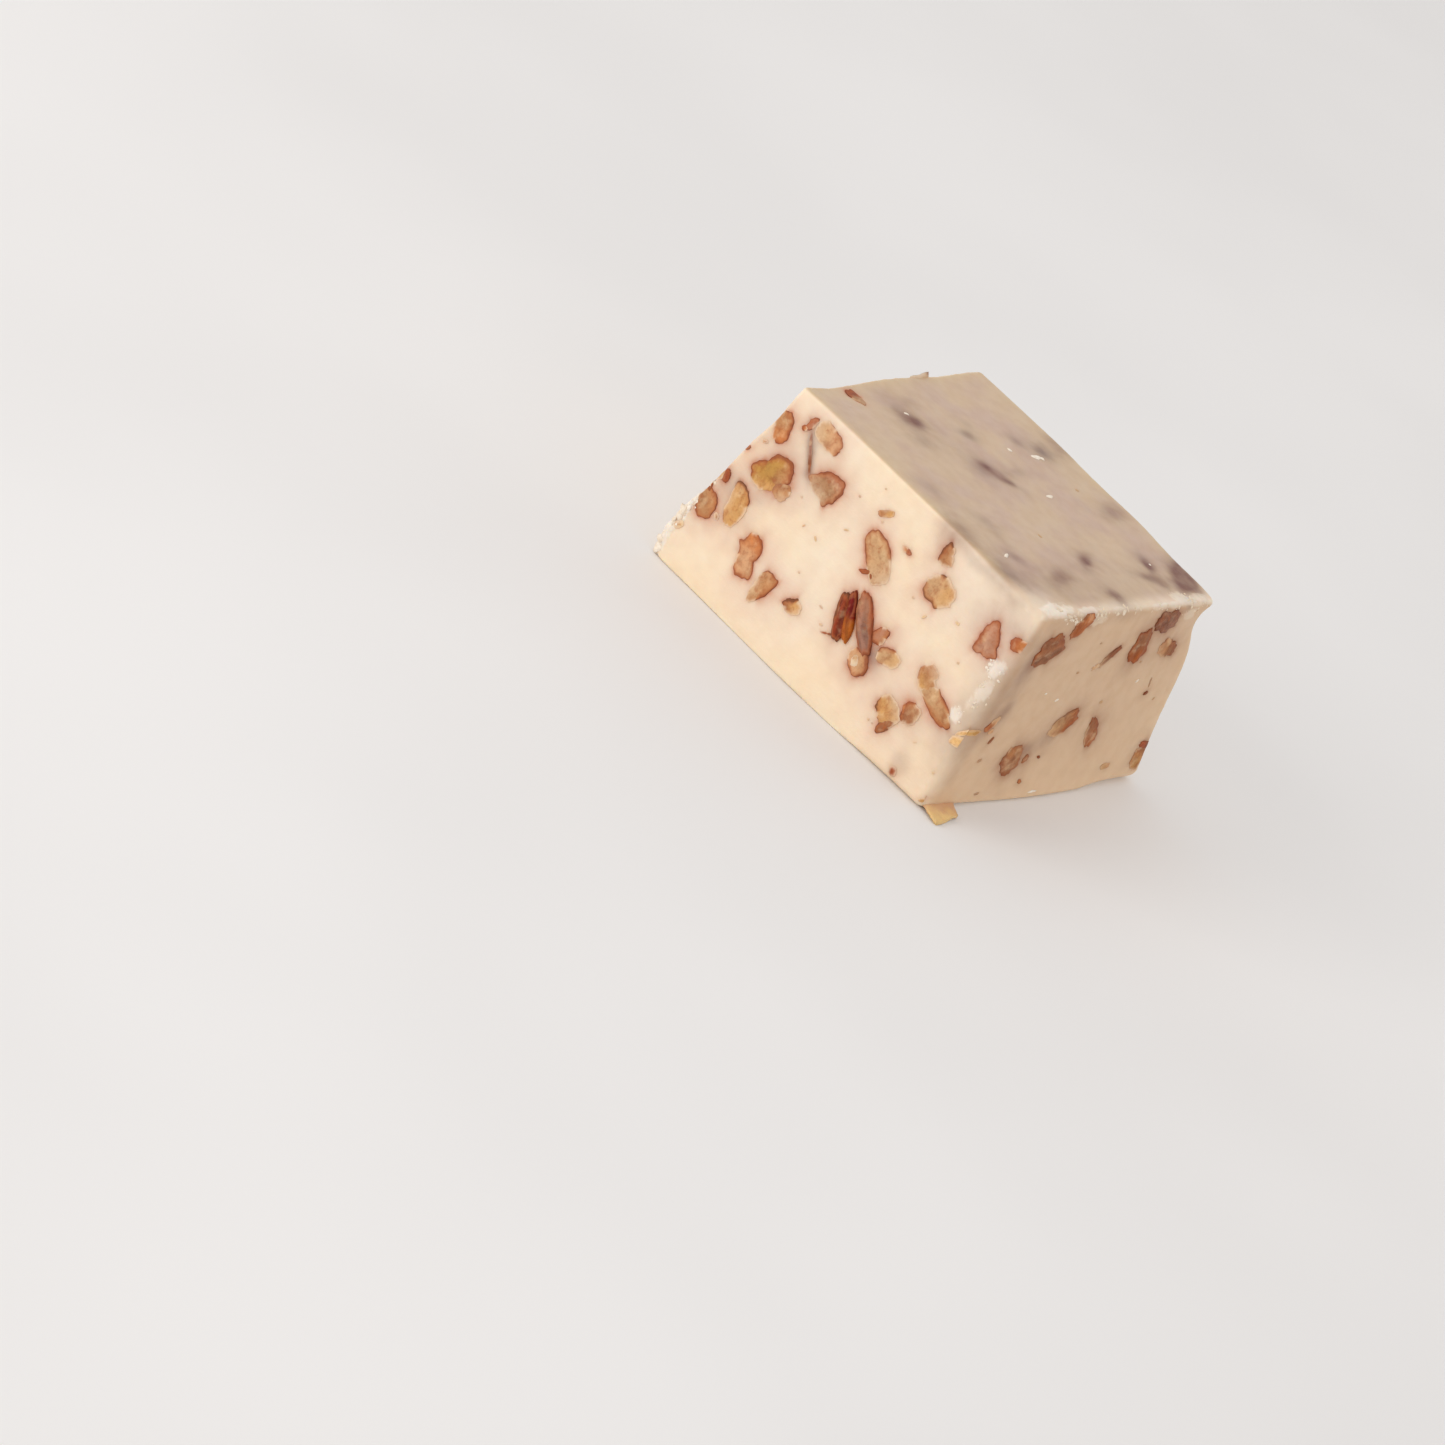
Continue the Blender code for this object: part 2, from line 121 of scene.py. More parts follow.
class SmoothNoise:
    """Smooth noise from -1 to 1 read from a table of random values, the same on every run."""

    def __init__(self, seed: int) -> None:
        """Draw the table.

        Args:
            seed: picks the table.
        """
        chance = np.random.default_rng(seed)
        self.order = chance.permutation(256)
        self.values = chance.uniform(-1, 1, 256)

    def at(self, points: Array, scale: float) -> Array:
        """The noise at each point.

        Args:
            points: an array of n points.
            scale: cells for each unit of length.

        Returns:
            n values.
        """
        places = points * scale
        cells = np.floor(places).astype(int)
        parts = places - cells
        parts = parts * parts * (3 - 2 * parts)
        total = np.zeros(len(points))
        for corner in itertools.product((0, 1), repeat=3):
            x, y, z = ((cells + corner) & 255).T
            mixed = self.order[(self.order[(self.order[x] + y) & 255] + z) & 255]
            total += self.values[mixed] * np.prod(np.where(corner, parts, 1 - parts), axis=1)
        return total

    def rough(self, points: Array, scale: float, octaves: int = 3) -> Array:
        """Layers of noise, each twice as fine and half as strong as the last.

        Args:
            points: an array of n points.
            scale: cells for each unit of length in the coarsest layer.
            octaves: how many layers.

        Returns:
            n values, about -1 to 1.
        """
        total = sum(self.at(points + 17.3 * i, scale * 2**i) / 2**i for i in range(octaves))
        return total / (2 - 2 ** (1 - octaves))


NOISE = SmoothNoise(7)
FINE_NOISE = SmoothNoise(19)


def ramp(value: Array, low: float, high: float) -> Array:
    """0 below low, 1 above high, smooth between."""
    share = np.clip((value - low) / (high - low), 0, 1)
    return share * share * (3 - 2 * share)


def blend(first: Array, second: Array, share: Array) -> Array:
    """Mix values: first where share is 0, second where it is 1."""
    return first * (1 - share) + second * share


def squared_reach(x: Array, y: Array, power: float) -> Array:
    """What x and y are multiplied by to lie on a rounded square; power 2 gives a circle."""
    return (np.abs(x) ** power + np.abs(y) ** power) ** (-1 / power)


def apart(first: Array, second: float) -> Array:
    """The angles from second to first in degrees, from -180 to 180."""
    return (first - second + 180) % 360 - 180


def along_axes(u: Array, v: Array, angle: float) -> tuple[Array, Array]:
    """u and v as they measure along axes that are turned by an angle in degrees."""
    turn = math.radians(angle)
    return u * math.cos(turn) + v * math.sin(turn), v * math.cos(turn) - u * math.sin(turn)


@dataclass(frozen=True)
class Swell:
    """A place where the block swells or sinks: its middle, how far it reaches, and where it pushes."""

    middle: Triple
    reach: Triple
    push: Triple


@dataclass(frozen=True)
class EdgeLook:
    """One edge of the block: how far it rounds over and how much it has crumbled.

    Its signs say which two faces meet there, along X, Y and Z; the 0 is the way that it runs.
    """

    signs: tuple[int, int, int]
    radius: float
    crumble: float


@dataclass(frozen=True)
class FudgeForm:
    """The hand-cut block without its fine grain, made from a cube that runs from -1 to 1.

    Attributes:
        height: how high it stands.
        half: half of its length along X, Y and Z, before its corners are moved.
        plain_radius, plain_share: how a face rounds off away from the edges, and how much that weighs.
        edge_fade: from where to where on the cube an edge takes over from the faces.
        base_fade: how far a surface may lean towards the floor before its waviness is gone.
        wave, wave_scale: how high and how close together the waves of its faces are.
        tries, stride: how often on_face closes in on a point, and how far apart tangents looks.
        edges, swells: its edges, and where it swells or sinks.
    """

    height: float = 35.6
    half: Triple = (28.5, 26.6, 17.7)
    plain_radius: float = 1.0
    plain_share: float = 0.02
    edge_fade: tuple[float, float] = (0.35, 0.85)
    base_fade: tuple[float, float] = (0.1, 0.9)
    wave: float = 0.2
    wave_scale: float = 0.09
    tries: int = 7
    stride: float = 1.5
    edges: tuple[EdgeLook, ...] = (
        EdgeLook((-1, -1, 0), 0.6, 0.7),
        EdgeLook((1, -1, 0), 2.9, 0.1),
        EdgeLook((-1, 1, 0), 1.4, 0.35),
        EdgeLook((1, 1, 0), 2.6, 0.15),
        EdgeLook((0, -1, 1), 0.55, 0.1),
        EdgeLook((1, 0, 1), 1.1, 0.75),
        EdgeLook((-1, 0, 1), 0.8, 0.3),
        EdgeLook((0, 1, 1), 1.0, 0.12),
        EdgeLook((0, -1, -1), 0.4, 0.2),
        EdgeLook((1, 0, -1), 1.0, 0.25),
        EdgeLook((-1, 0, -1), 0.7, 0.3),
        EdgeLook((0, 1, -1), 4.6, 0.15),
    )
    swells: tuple[Swell, ...] = (
        Swell((0, 26, 34), (24, 8, 30), (0, 1.3, 0.2)),
        Swell((-31, 0, 7), (5, 90, 6), (-0.9, 0, 0)),
        Swell((-26, 0, 29), (4, 90, 4.5), (0.4, 0, 0)),
        Swell((0, -29, 0), (18, 5, 7), (0, -0.5, 0)),
        Swell((30, 0, 0), (5, 18, 7), (0.6, 0, 0)),
        Swell((-25, -17, 36), (4, 7, 3), (0, 0, -0.8)),
        Swell((29.5, 26, 29.5), (5, 5, 4.0), (-0.8, -1.8, 0)),
        Swell((28, 25, 34.6), (3, 3, 1.8), (0.6, 1.2, -0.4)),
        Swell((24, 26, 35), (5, 4, 3), (0, 1.4, 0)),
        Swell((-31.6, -29.6, 0), (2.2, 2.2, 2.4), (1.0, 0.3, 0.3)),
        Swell((29, -27, 36), (4, 4, 4), (-0.4, 0.4, -0.4)),
    )

    def corners(self) -> dict[tuple[int, int, int], Triple]:
        """The eight corners before rounding.

        Returns:
            Their places, keyed by their signs along X, Y and Z.
        """
        top = self.height
        return {
            (-1, -1, 1): (-25.4, -25.8, top + 0.2),
            (1, -1, 1): (28.4, -26.8, top),
            (-1, 1, 1): (-27.6, 25.1, top - 0.4),
            (1, 1, 1): (27.8, 24.1, top - 1.5),
            (-1, -1, -1): (-31.2, -29.5, 0.0),
            (1, -1, -1): (29.5, -28.9, 0.0),
            (-1, 1, -1): (-29.9, 28.1, 0.0),
            (1, 1, -1): (31.6, 30.9, 0.0),
        }

    def near_edges(self, cube: Array) -> list[Array]:
        """How near points of the cube are to each edge.

        Args:
            cube: n points of the cube.

        Returns:
            n values from 0 to 1 for each edge.
        """
        found = []
        for edge in self.edges:
            weight = np.ones(len(cube))
            for axis, sign in enumerate(edge.signs):
                if sign:
                    weight *= ramp(sign * cube[:, axis], *self.edge_fade)
            found.append(weight)
        return found

    def surface(self, cube: Array) -> tuple[Array, Array]:
        """The block's surface for points on the surface of the cube from -1 to 1.

        Args:
            cube: n points of the cube.

        Returns:
            The n surface points, and the way out at each.
        """
        half = np.array(self.half)
        weights = self.near_edges(cube)
        total = self.plain_share * self.plain_radius
        total = total + sum(weight * edge.radius for weight, edge in zip(weights, self.edges))
        radius = (total / (self.plain_share + sum(weights)))[:, None]
        inner = np.clip(cube * half, radius - half, half - radius)
        out = cube * half - inner
        out /= np.linalg.norm(out, axis=1, keepdims=True)
        rounded = (inner + radius * out) / half
        points = np.zeros_like(rounded)
        for signs, corner in self.corners().items():
            share = np.prod((1 + rounded * np.array(signs)) / 2, axis=1)
            points += share[:, None] * np.array(corner)
        above_base = 1 - ramp(-out[:, 2], *self.base_fade)
        points += out * (self.wave * NOISE.at(points, self.wave_scale) * above_base)[:, None]
        moved = points.copy()
        for swell in self.swells:
            far = (((points - np.array(swell.middle)) / np.array(swell.reach)) ** 2).sum(axis=1)
            moved += np.exp(-far)[:, None] * np.array(swell.push)
        moved[:, 2] = np.maximum(moved[:, 2], 0)
        return moved, out

    def on_face(self, face: Face, u: Array, v: Array) -> Array:
        """The surface points of a face at the u and v given, in millimetres.

        Args:
            face: the face.
            u, v: where, along the face's own two axes.

        Returns:
            The points.
        """
        axis, sign, u_axis, v_axis = face.value
        cube = np.zeros((len(u), 3))
        cube[:, axis] = sign
        cube[:, u_axis] = u / self.half[u_axis]
        cube[:, v_axis] = v / self.half[v_axis] - (1 if v_axis == 2 else 0)
        for _ in range(self.tries):
            cube = np.clip(cube, -1, 1)
            points = self.surface(cube)[0]
            cube[:, u_axis] += (u - points[:, u_axis]) / self.half[u_axis]
            cube[:, v_axis] += (v - points[:, v_axis]) / self.half[v_axis]
        return self.surface(np.clip(cube, -1, 1))[0]

    def spot(self, face: Face, u: float, v: float) -> Array:
        """The one surface point of a face at u and v."""
        return self.on_face(face, np.array([u]), np.array([v]))[0]

    def tangents(self, face: Face, u: float, v: float) -> tuple[Array, Array, Array]:
        """The directions at a point of a face.

        Args:
            face: the face.
            u, v: where on it.

        Returns:
            The directions of u, of v and outwards.
        """
        axis, sign, _, _ = face.value
        step = self.stride
        around_u, around_v = (u + step, u - step, u, u), (v, v, v + step, v - step)
        spots = self.on_face(face, np.array(around_u), np.array(around_v))
        along_u = spots[0] - spots[1]
        along_v = spots[2] - spots[3]
        out = np.cross(along_u, along_v)
        out *= math.copysign(1, out[axis] * sign) / np.linalg.norm(out)
        along_u /= np.linalg.norm(along_u)
        along_v -= along_u * (along_v @ along_u)
        return along_u, along_v / np.linalg.norm(along_v), out


FORM = FudgeForm()


# The waves that make a nut's outline ragged, as how many go round it and how high each is; how many
# times as ragged a face's nuts are as the front's; and the steps in which a finished outline is read.
WAVES = ((3, 0.03), (5, 0.035), (7, 0.03), (11, 0.022), (17, 0.016))
RAGGED = {Face.END: 2.1, Face.BACK: 1.7, Face.FAR: 1.7, Face.BASE: 1.7}
RIM_STEPS = 72


@dataclass(frozen=True)
class Arc:
    """A stretch of a nut's rim where dark skin shows, in degrees round the face from +u towards +v."""

    start: float
    end: float
    width: float = 0.26
    strength: float = 1.0
    fade: float = 24.0

    def cover(self, way: Array) -> Array:
        """How far the arc covers directions.

        Args:
            way: the directions, in degrees.

        Returns:
            A value from 0 to 1 for each.
        """
        span = (self.end - self.start) / 2
        off = apart(way - self.start, span)
        return ramp(span + self.fade / 2 - np.abs(off), 0, self.fade)


@dataclass(frozen=True)
class Dent:
    """A notch in a nut's outline, or a bump where share is over 0."""

    way: float
    share: float
    spread: float = 16.0


@dataclass(frozen=True)
class Nut:
    """One lobe of a pecan piece, cut through by the face that it lies in.

    Attributes:
        face, u, v: the face, and the middle on it.
        length, width, angle: its size, and how its length is turned from +u towards +v.
        meat, blush, blush_way: its colour, the colour that it turns to, and on which side.
        skin, skin_tone: where dark skin shows at the rim, and its colour.
        dents: notches and bumps of the outline.
        veil_way, veil: the side over which fudge is smeared, and how thickly.
        taper, bend, square: how the outline narrows, bends and squares off.
        proud, depth: how far it stands out of the face and reaches in.
        ridges, gloss: how ribbed and how shiny it is.
        halo: how strongly it stains the fudge.
        seed: picks the raggedness of its outline.
    """

    face: Face
    u: float
    v: float
    length: float
    width: float
    angle: float
    meat: Tone
    blush: Tone
    blush_way: float = 0.0
    skin: tuple[Arc, ...] = ()
    dents: tuple[Dent, ...] = ()
    skin_tone: Tone = Tone.RUSSET
    veil_way: float = 0.0
    veil: float = 0.0
    taper: float = 0.0
    bend: float = 0.0
    square: float = 2.3
    proud: float = 0.1
    depth: float = 2.0
    ridges: float = 0.0
    gloss: float = 0.0
    halo: float = 1.0
    seed: int = 0

    def outline(self, way: Array) -> tuple[Array, Array]:
        """The outline in face coordinates about the middle.

        Args:
            way: parameters round the outline, in radians.

        Returns:
            The du and dv of each.
        """
        wobble = np.random.default_rng(self.seed + 100)
        size = squared_reach(np.cos(way), np.sin(way), self.square)
        for count, height in WAVES:
            wave = height * RAGGED.get(self.face, 1.0) * wobble.uniform(0.5, 1)
            size = size * (1 + wave * np.sin(count * way + wobble.uniform(0, math.tau)))
        along = np.cos(way) * size
        across = np.sin(way) * size * (1 + self.taper * along)
        x = along * self.length / 2
        y = across * self.width / 2 + self.bend * self.width * (along * along - 0.4)
        u, v = along_axes(x, y, -self.angle)
        seen = np.degrees(np.arctan2(v, u))
        change = np.ones(len(way))
        for dent in self.dents:
            change += dent.share * np.exp(-((apart(seen, dent.way) / dent.spread) ** 2))
        return u * change, v * change

    def distance(self, du: Array, dv: Array) -> tuple[Array, Array]:
        """How far points of the face lie outside the outline, and in which direction from the middle.

        Args:
            du, dv: the points, about the middle.

        Returns:
            The distances, under 0 inside, and the directions in degrees.
        """
        rim_u, rim_v = self.outline(np.linspace(0, math.tau, RIM_STEPS + 1)[:-1])
        rim_way = np.degrees(np.arctan2(rim_v, rim_u)) % 360
        order = np.argsort(rim_way)
        way = np.degrees(np.arctan2(dv, du)) % 360
        reach = np.interp(way, rim_way[order], np.hypot(rim_u, rim_v)[order], period=360)
        return np.hypot(du, dv) - reach, way


# Short names for the tables: the faces, the colours, and skin all round a nut.
F, E, B, R, T = Face.FRONT, Face.END, Face.BACK, Face.FAR, Face.TOP
(TAN, BROWN, GOLD, OLIVE, BEIGE, ORANGE, RUSSET, ROSE, MAUVE, MAHOGANY, AMBER, IVORY, UMBER, STRAW, PEACH,
 CHESTNUT, RUST, DUN, BLUSH, HONEY) = Tone
WHOLE = (Arc(0, 359),)
THIN = (Arc(0, 359, 0.2, 0.8),)

# Each row: face, u, v, length, width, angle, meat, blush, blush_way, skin, dents, and what else it needs.
FRONT_NUTS = (
    Nut(F, -24.4, 28.7, 5.1, 3.2, 107, TAN, ORANGE, 300, (Arc(-80, 115, 0.36),), (Dent(200, -0.1),)),
    Nut(F, -17.0, 32.4, 5.4, 3.4, -9, PEACH, BEIGE, 185, (Arc(-30, 75, 0.22, 0.8),
        Arc(95, 120, 0.2, 0.5)), (Dent(150, 0.1), Dent(255, -0.1)), veil_way=215, veil=0.12, square=2.8,
        halo=0.7),
    Nut(F, -20.6, 32.3, 2.5, 1.3, 75, ROSE, RUSSET, 160, (Arc(60, 300, 0.3, 0.8),), (Dent(20, -0.2),
        Dent(160, 0.2), Dent(240, 0.2)), halo=0.8),
    Nut(F, -21.3, 30.95, 1.1, 0.9, 20, ORANGE, RUSSET, 200, (Arc(90, 300, 0.25, 0.8),), halo=0.6),
    Nut(F, -18.1, 28.6, 6.4, 0.6, -53.7, MAUVE, CHESTNUT, 309, (Arc(0, 359, 0.0, 0.6),), proud=0.02,
        halo=0.5),
    Nut(F, -18.5, 21.3, 3.3, 2.8, 10, TAN, BROWN, 150, (Arc(-90, 10, 0.14, 0.4), Arc(40, 270, 0.0)),
        (Dent(-60, 0.15), Dent(-10, -0.12)), veil_way=300, veil=0.14, halo=0.6),
    Nut(F, -22.0, 21.4, 5.4, 4.4, 20, OLIVE, GOLD, -60, (Arc(95, 215, 0.34), Arc(-60, 20, 0.0)),
        (Dent(190, 0.1), Dent(300, -0.06))),
    Nut(F, -20.7, 23.4, 5.0, 4.4, 22, OLIVE, TAN, -10, (Arc(-30, 175, 0.46), Arc(170, 340, 0.0)),
        (Dent(60, 0.05),), proud=0.13),
    Nut(F, -12.5, 26.7, 5.6, 4.4, 10, DUN, ROSE, 60, (Arc(-75, 178, 0.34), Arc(178, 196, 0.3, 0.7)),
        (Dent(191, 0.36, 13), Dent(106, 0.08, 25), Dent(47, 0.2, 18), Dent(-8, -0.16, 18),
        Dent(-70, 0.34, 13)), veil_way=238, veil=0.14, square=2.1),
    Nut(F, -27.7, 11.7, 4.7, 3.7, 112, TAN, DUN, 200, (Arc(-150, 125, 0.34),), (Dent(120, 0.08),)),
    Nut(F, -28.8, 14.4, 2.4, 0.7, 112, RUSSET, UMBER, 270, WHOLE, halo=0.8),
    Nut(F, -23.2, 14.6, 6.7, 3.5, 97, GOLD, GOLD, -50, (Arc(42, 128, 0.32), Arc(235, 262, 0.26, 0.8)),
        (Dent(72, -0.2), Dent(119, 0.2, 12)), veil_way=190, veil=0.12, taper=0.18, square=2.8,
        skin_tone=UMBER),
    Nut(F, -16.9, 10.3, 7.0, 3.8, 101, PEACH, ORANGE, 95, (Arc(-110, 95, 0.4), Arc(125, 205, 0.3, 0.8)),
        (Dent(-5, -0.28, 17), Dent(-47, 0.2, 16), Dent(162, 0.34, 10), Dent(200, -0.12)), square=2.5),
    Nut(F, -12.1, 8.1, 5.7, 2.9, 78, TAN, BEIGE, 185, (Arc(-70, 62, 0.32), Arc(62, 115, 0.2, 0.9)),
        (Dent(50, 0.12), Dent(200, -0.12), Dent(-101, 0.1)), veil_way=185, veil=0.2, taper=0.35,
        square=2.5),
    Nut(F, -6.0, 9.4, 3.2, 2.4, 10, GOLD, BROWN, 170, (Arc(85, 205, 0.45),), (Dent(88, 0.3, 14),
        Dent(200, 0.15), Dent(140, -0.15)), veil_way=330, veil=0.25, skin_tone=UMBER),
    Nut(F, 0.8, 24.1, 8.1, 4.4, -43, BEIGE, BEIGE, 170, (Arc(38, 245, 0.28),), (Dent(155, 0.05),
        Dent(205, -0.08), Dent(0, -0.08)), veil_way=-35, veil=0.1, square=2.6),
    Nut(F, 0.4, 21.3, 1.9, 0.8, 35, RUSSET, CHESTNUT, 0, WHOLE, (Dent(200, 0.4, 12), Dent(90, -0.2)),
        halo=0.7),
    Nut(F, 1.5, 21.4, 1.2, 0.5, -50, CHESTNUT, RUSSET, 0, WHOLE, halo=0.5),
    Nut(F, 1.5, 13.6, 7.0, 2.3, -66, RUST, RUST, 210, (Arc(60, 300, 0.5),), (Dent(120, 0.1, 10),
        Dent(-80, 0.12, 10)), square=2.8, proud=0.45, ridges=0.7, gloss=0.3, skin_tone=UMBER, depth=2.6,
        halo=0.8),
    Nut(F, 2.7, 14.4, 7.4, 1.9, -64, MAHOGANY, AMBER, -75, (Arc(60, 200, 0.3),), (Dent(118, 0.1, 10),),
        square=2.6, proud=0.6, ridges=0.5, gloss=0.6, skin_tone=MAHOGANY, depth=2.6),
    Nut(F, 5.2, 15.4, 9.7, 2.9, -51, MAUVE, ROSE, 120, (Arc(-80, 140, 0.42), Arc(140, 280, 0.26, 0.8)),
        (Dent(128, -0.04),), proud=0.6, ridges=0.5, gloss=0.5, depth=2.6),
    Nut(F, 7.9, 10.3, 4.3, 3.5, -50, PEACH, BEIGE, 30, (Arc(-150, 130, 0.4),), proud=0.4, gloss=0.3,
        depth=2.4),
    # A painted highlight on the round lobe above, made as an ivory lobe.
    Nut(F, 7.5, 10.2, 2.2, 1.6, 110, IVORY, BEIGE, 100, (), (Dent(60, -0.2),), proud=0.48, gloss=0.5,
        halo=0.0),
    Nut(F, 1.2, 10.2, 2.7, 0.6, 27, RUSSET, CHESTNUT, 0, (), (Dent(170, 0.2, 12),), taper=0.3, halo=0.8),
    Nut(F, 8.4, 15.7, 3.0, 2.4, 75, ROSE, TAN, 0, (Arc(120, 290, 0.3), Arc(20, 75, 0.22)),
        (Dent(60, 0.15), Dent(230, 0.12), Dent(0, -0.15)), taper=-0.2),
    Nut(F, 11.4, 14.0, 4.0, 2.8, 15, BEIGE, GOLD, 0, (Arc(75, 185, 0.26), Arc(230, 260, 0.2, 0.7)),
        (Dent(25, 0.12), Dent(300, -0.1)), veil_way=-20, veil=0.1, square=2.7),
    Nut(F, 9.9, 32.0, 3.3, 2.5, 100, TAN, BROWN, 170, (Arc(95, 235, 0.34),), (Dent(112, 0.25, 14),
        Dent(40, -0.25, 25), Dent(-30, 0.2), Dent(235, 0.25)), skin_tone=UMBER, veil_way=20, veil=0.15),
    Nut(F, 12.1, 27.1, 5.4, 4.6, 0, BEIGE, GOLD, -5, (Arc(190, 292, 0.34), Arc(104, 118, 0.5)),
        (Dent(95, 0.08), Dent(150, -0.12), Dent(215, 0.1), Dent(-72, 0.16, 10), Dent(-40, -0.08)),
        veil_way=-10, veil=0.06, square=2.5, skin_tone=CHESTNUT),
    Nut(F, 23.0, 26.7, 5.5, 3.6, 104, BLUSH, ROSE, 20, (Arc(110, 255, 0.4), Arc(-105, 110, 0.2)),
        (Dent(102, 0.24, 18), Dent(237, 0.34, 18), Dent(-24, 0.34, 16), Dent(166, -0.12, 24),
        Dent(-77, -0.16, 26)), square=2.1),
    Nut(F, 27.2, 29.4, 2.7, 2.2, 15, ORANGE, RUSSET, 200, (Arc(90, 300, 0.3, 0.8),), (Dent(50, 0.25),
        Dent(0, -0.1))),
    Nut(F, 18.6, 16.0, 3.9, 3.6, 120, TAN, GOLD, 240, (Arc(150, 215, 0.2, 0.5),), (Dent(20, -0.3, 22),
        Dent(100, 0.12)), veil_way=80, veil=0.15, square=2.6),
    Nut(F, 22.0, 13.9, 7.5, 3.1, -20, BEIGE, TAN, -30, (Arc(195, 345, 0.32), Arc(15, 110, 0.28)),
        (Dent(-20, 0.1, 9), Dent(150, 0.1), Dent(112, 0.2, 8)), square=2.2),
    Nut(F, 16.3, 7.9, 4.5, 4.0, -30, GOLD, BEIGE, 60, (Arc(160, 215, 0.34), Arc(250, 290, 0.2, 0.6)),
        (Dent(215, -0.14), Dent(125, 0.1)), veil_way=60, veil=0.1, square=2.8, skin_tone=UMBER),
    Nut(F, 17.3, 6.1, 3.6, 1.6, 66, BROWN, CHESTNUT, 290, (Arc(180, 350, 0.3),), (Dent(246, 0.1, 10),),
        square=2.6, skin_tone=UMBER, halo=0.7),
    Nut(F, 19.5, 10.1, 3.5, 3.1, 80, BROWN, TAN, 60, (Arc(100, 250, 0.32),), (Dent(200, -0.16),
        Dent(140, 0.1), Dent(240, 0.1)), veil_way=45, veil=0.08, square=2.5),
    Nut(F, 18.3, 9.9, 1.7, 0.6, -62, ORANGE, RUSSET, 0, THIN, (Dent(100, 0.3, 10),), halo=0.5,
        proud=0.12),
    Nut(F, -27.45, 17.1, 2.2, 1.3, 108, RUST, MAHOGANY, 0, WHOLE, gloss=0.4),
    Nut(F, -28.3, 16.7, 1.8, 1.2, 80, TAN, BEIGE, 180, (), veil_way=180, veil=0.2),
    Nut(F, -27.2, 22.6, 1.1, 0.6, 60, ROSE, BROWN, 0, THIN),
    Nut(F, -25.4, 25.2, 1.0, 0.6, 20, PEACH, ROSE, 0, (), halo=0.6),
    Nut(F, -25.0, 11.3, 1.2, 0.8, -40, PEACH, BROWN, 0, (), halo=0.6),
    Nut(F, -2.2, 30.1, 2.8, 1.1, 35, TAN, GOLD, 0, (Arc(200, 250, 0.15, 0.4), Arc(0, 359, 0.0, 0.5)),
        square=3.4, halo=0.5),
    Nut(F, 3.9, 28.15, 2.0, 0.9, -3, ORANGE, RUSSET, 0, (Arc(-60, 60, 0.25, 0.6),), veil_way=180,
        veil=0.35, halo=1.0),
    Nut(F, -29.4, 6.2, 1.9, 1.2, 50, IVORY, STRAW, 0, (), veil_way=90, veil=0.3, halo=0.2),
    Nut(F, 22.6, 1.7, 1.5, 1.3, 110, RUSSET, RUSSET, 240, (), veil_way=60, veil=0.1, halo=1.2),
    Nut(F, 28.4, 13.9, 2.8, 0.8, 46, HONEY, PEACH, 20, (), (Dent(226, 0.3, 12),), halo=0.8),
    Nut(F, 28.2, 11.9, 2.6, 1.9, 10, HONEY, HONEY, 30, (), (Dent(200, 0.1),), veil_way=270, veil=0.15,
        halo=0.4),
    Nut(F, 29.6, 1.7, 2.6, 0.8, 25, GOLD, BROWN, 20, (Arc(20, 120, 0.2, 0.7),), halo=0.5),
)

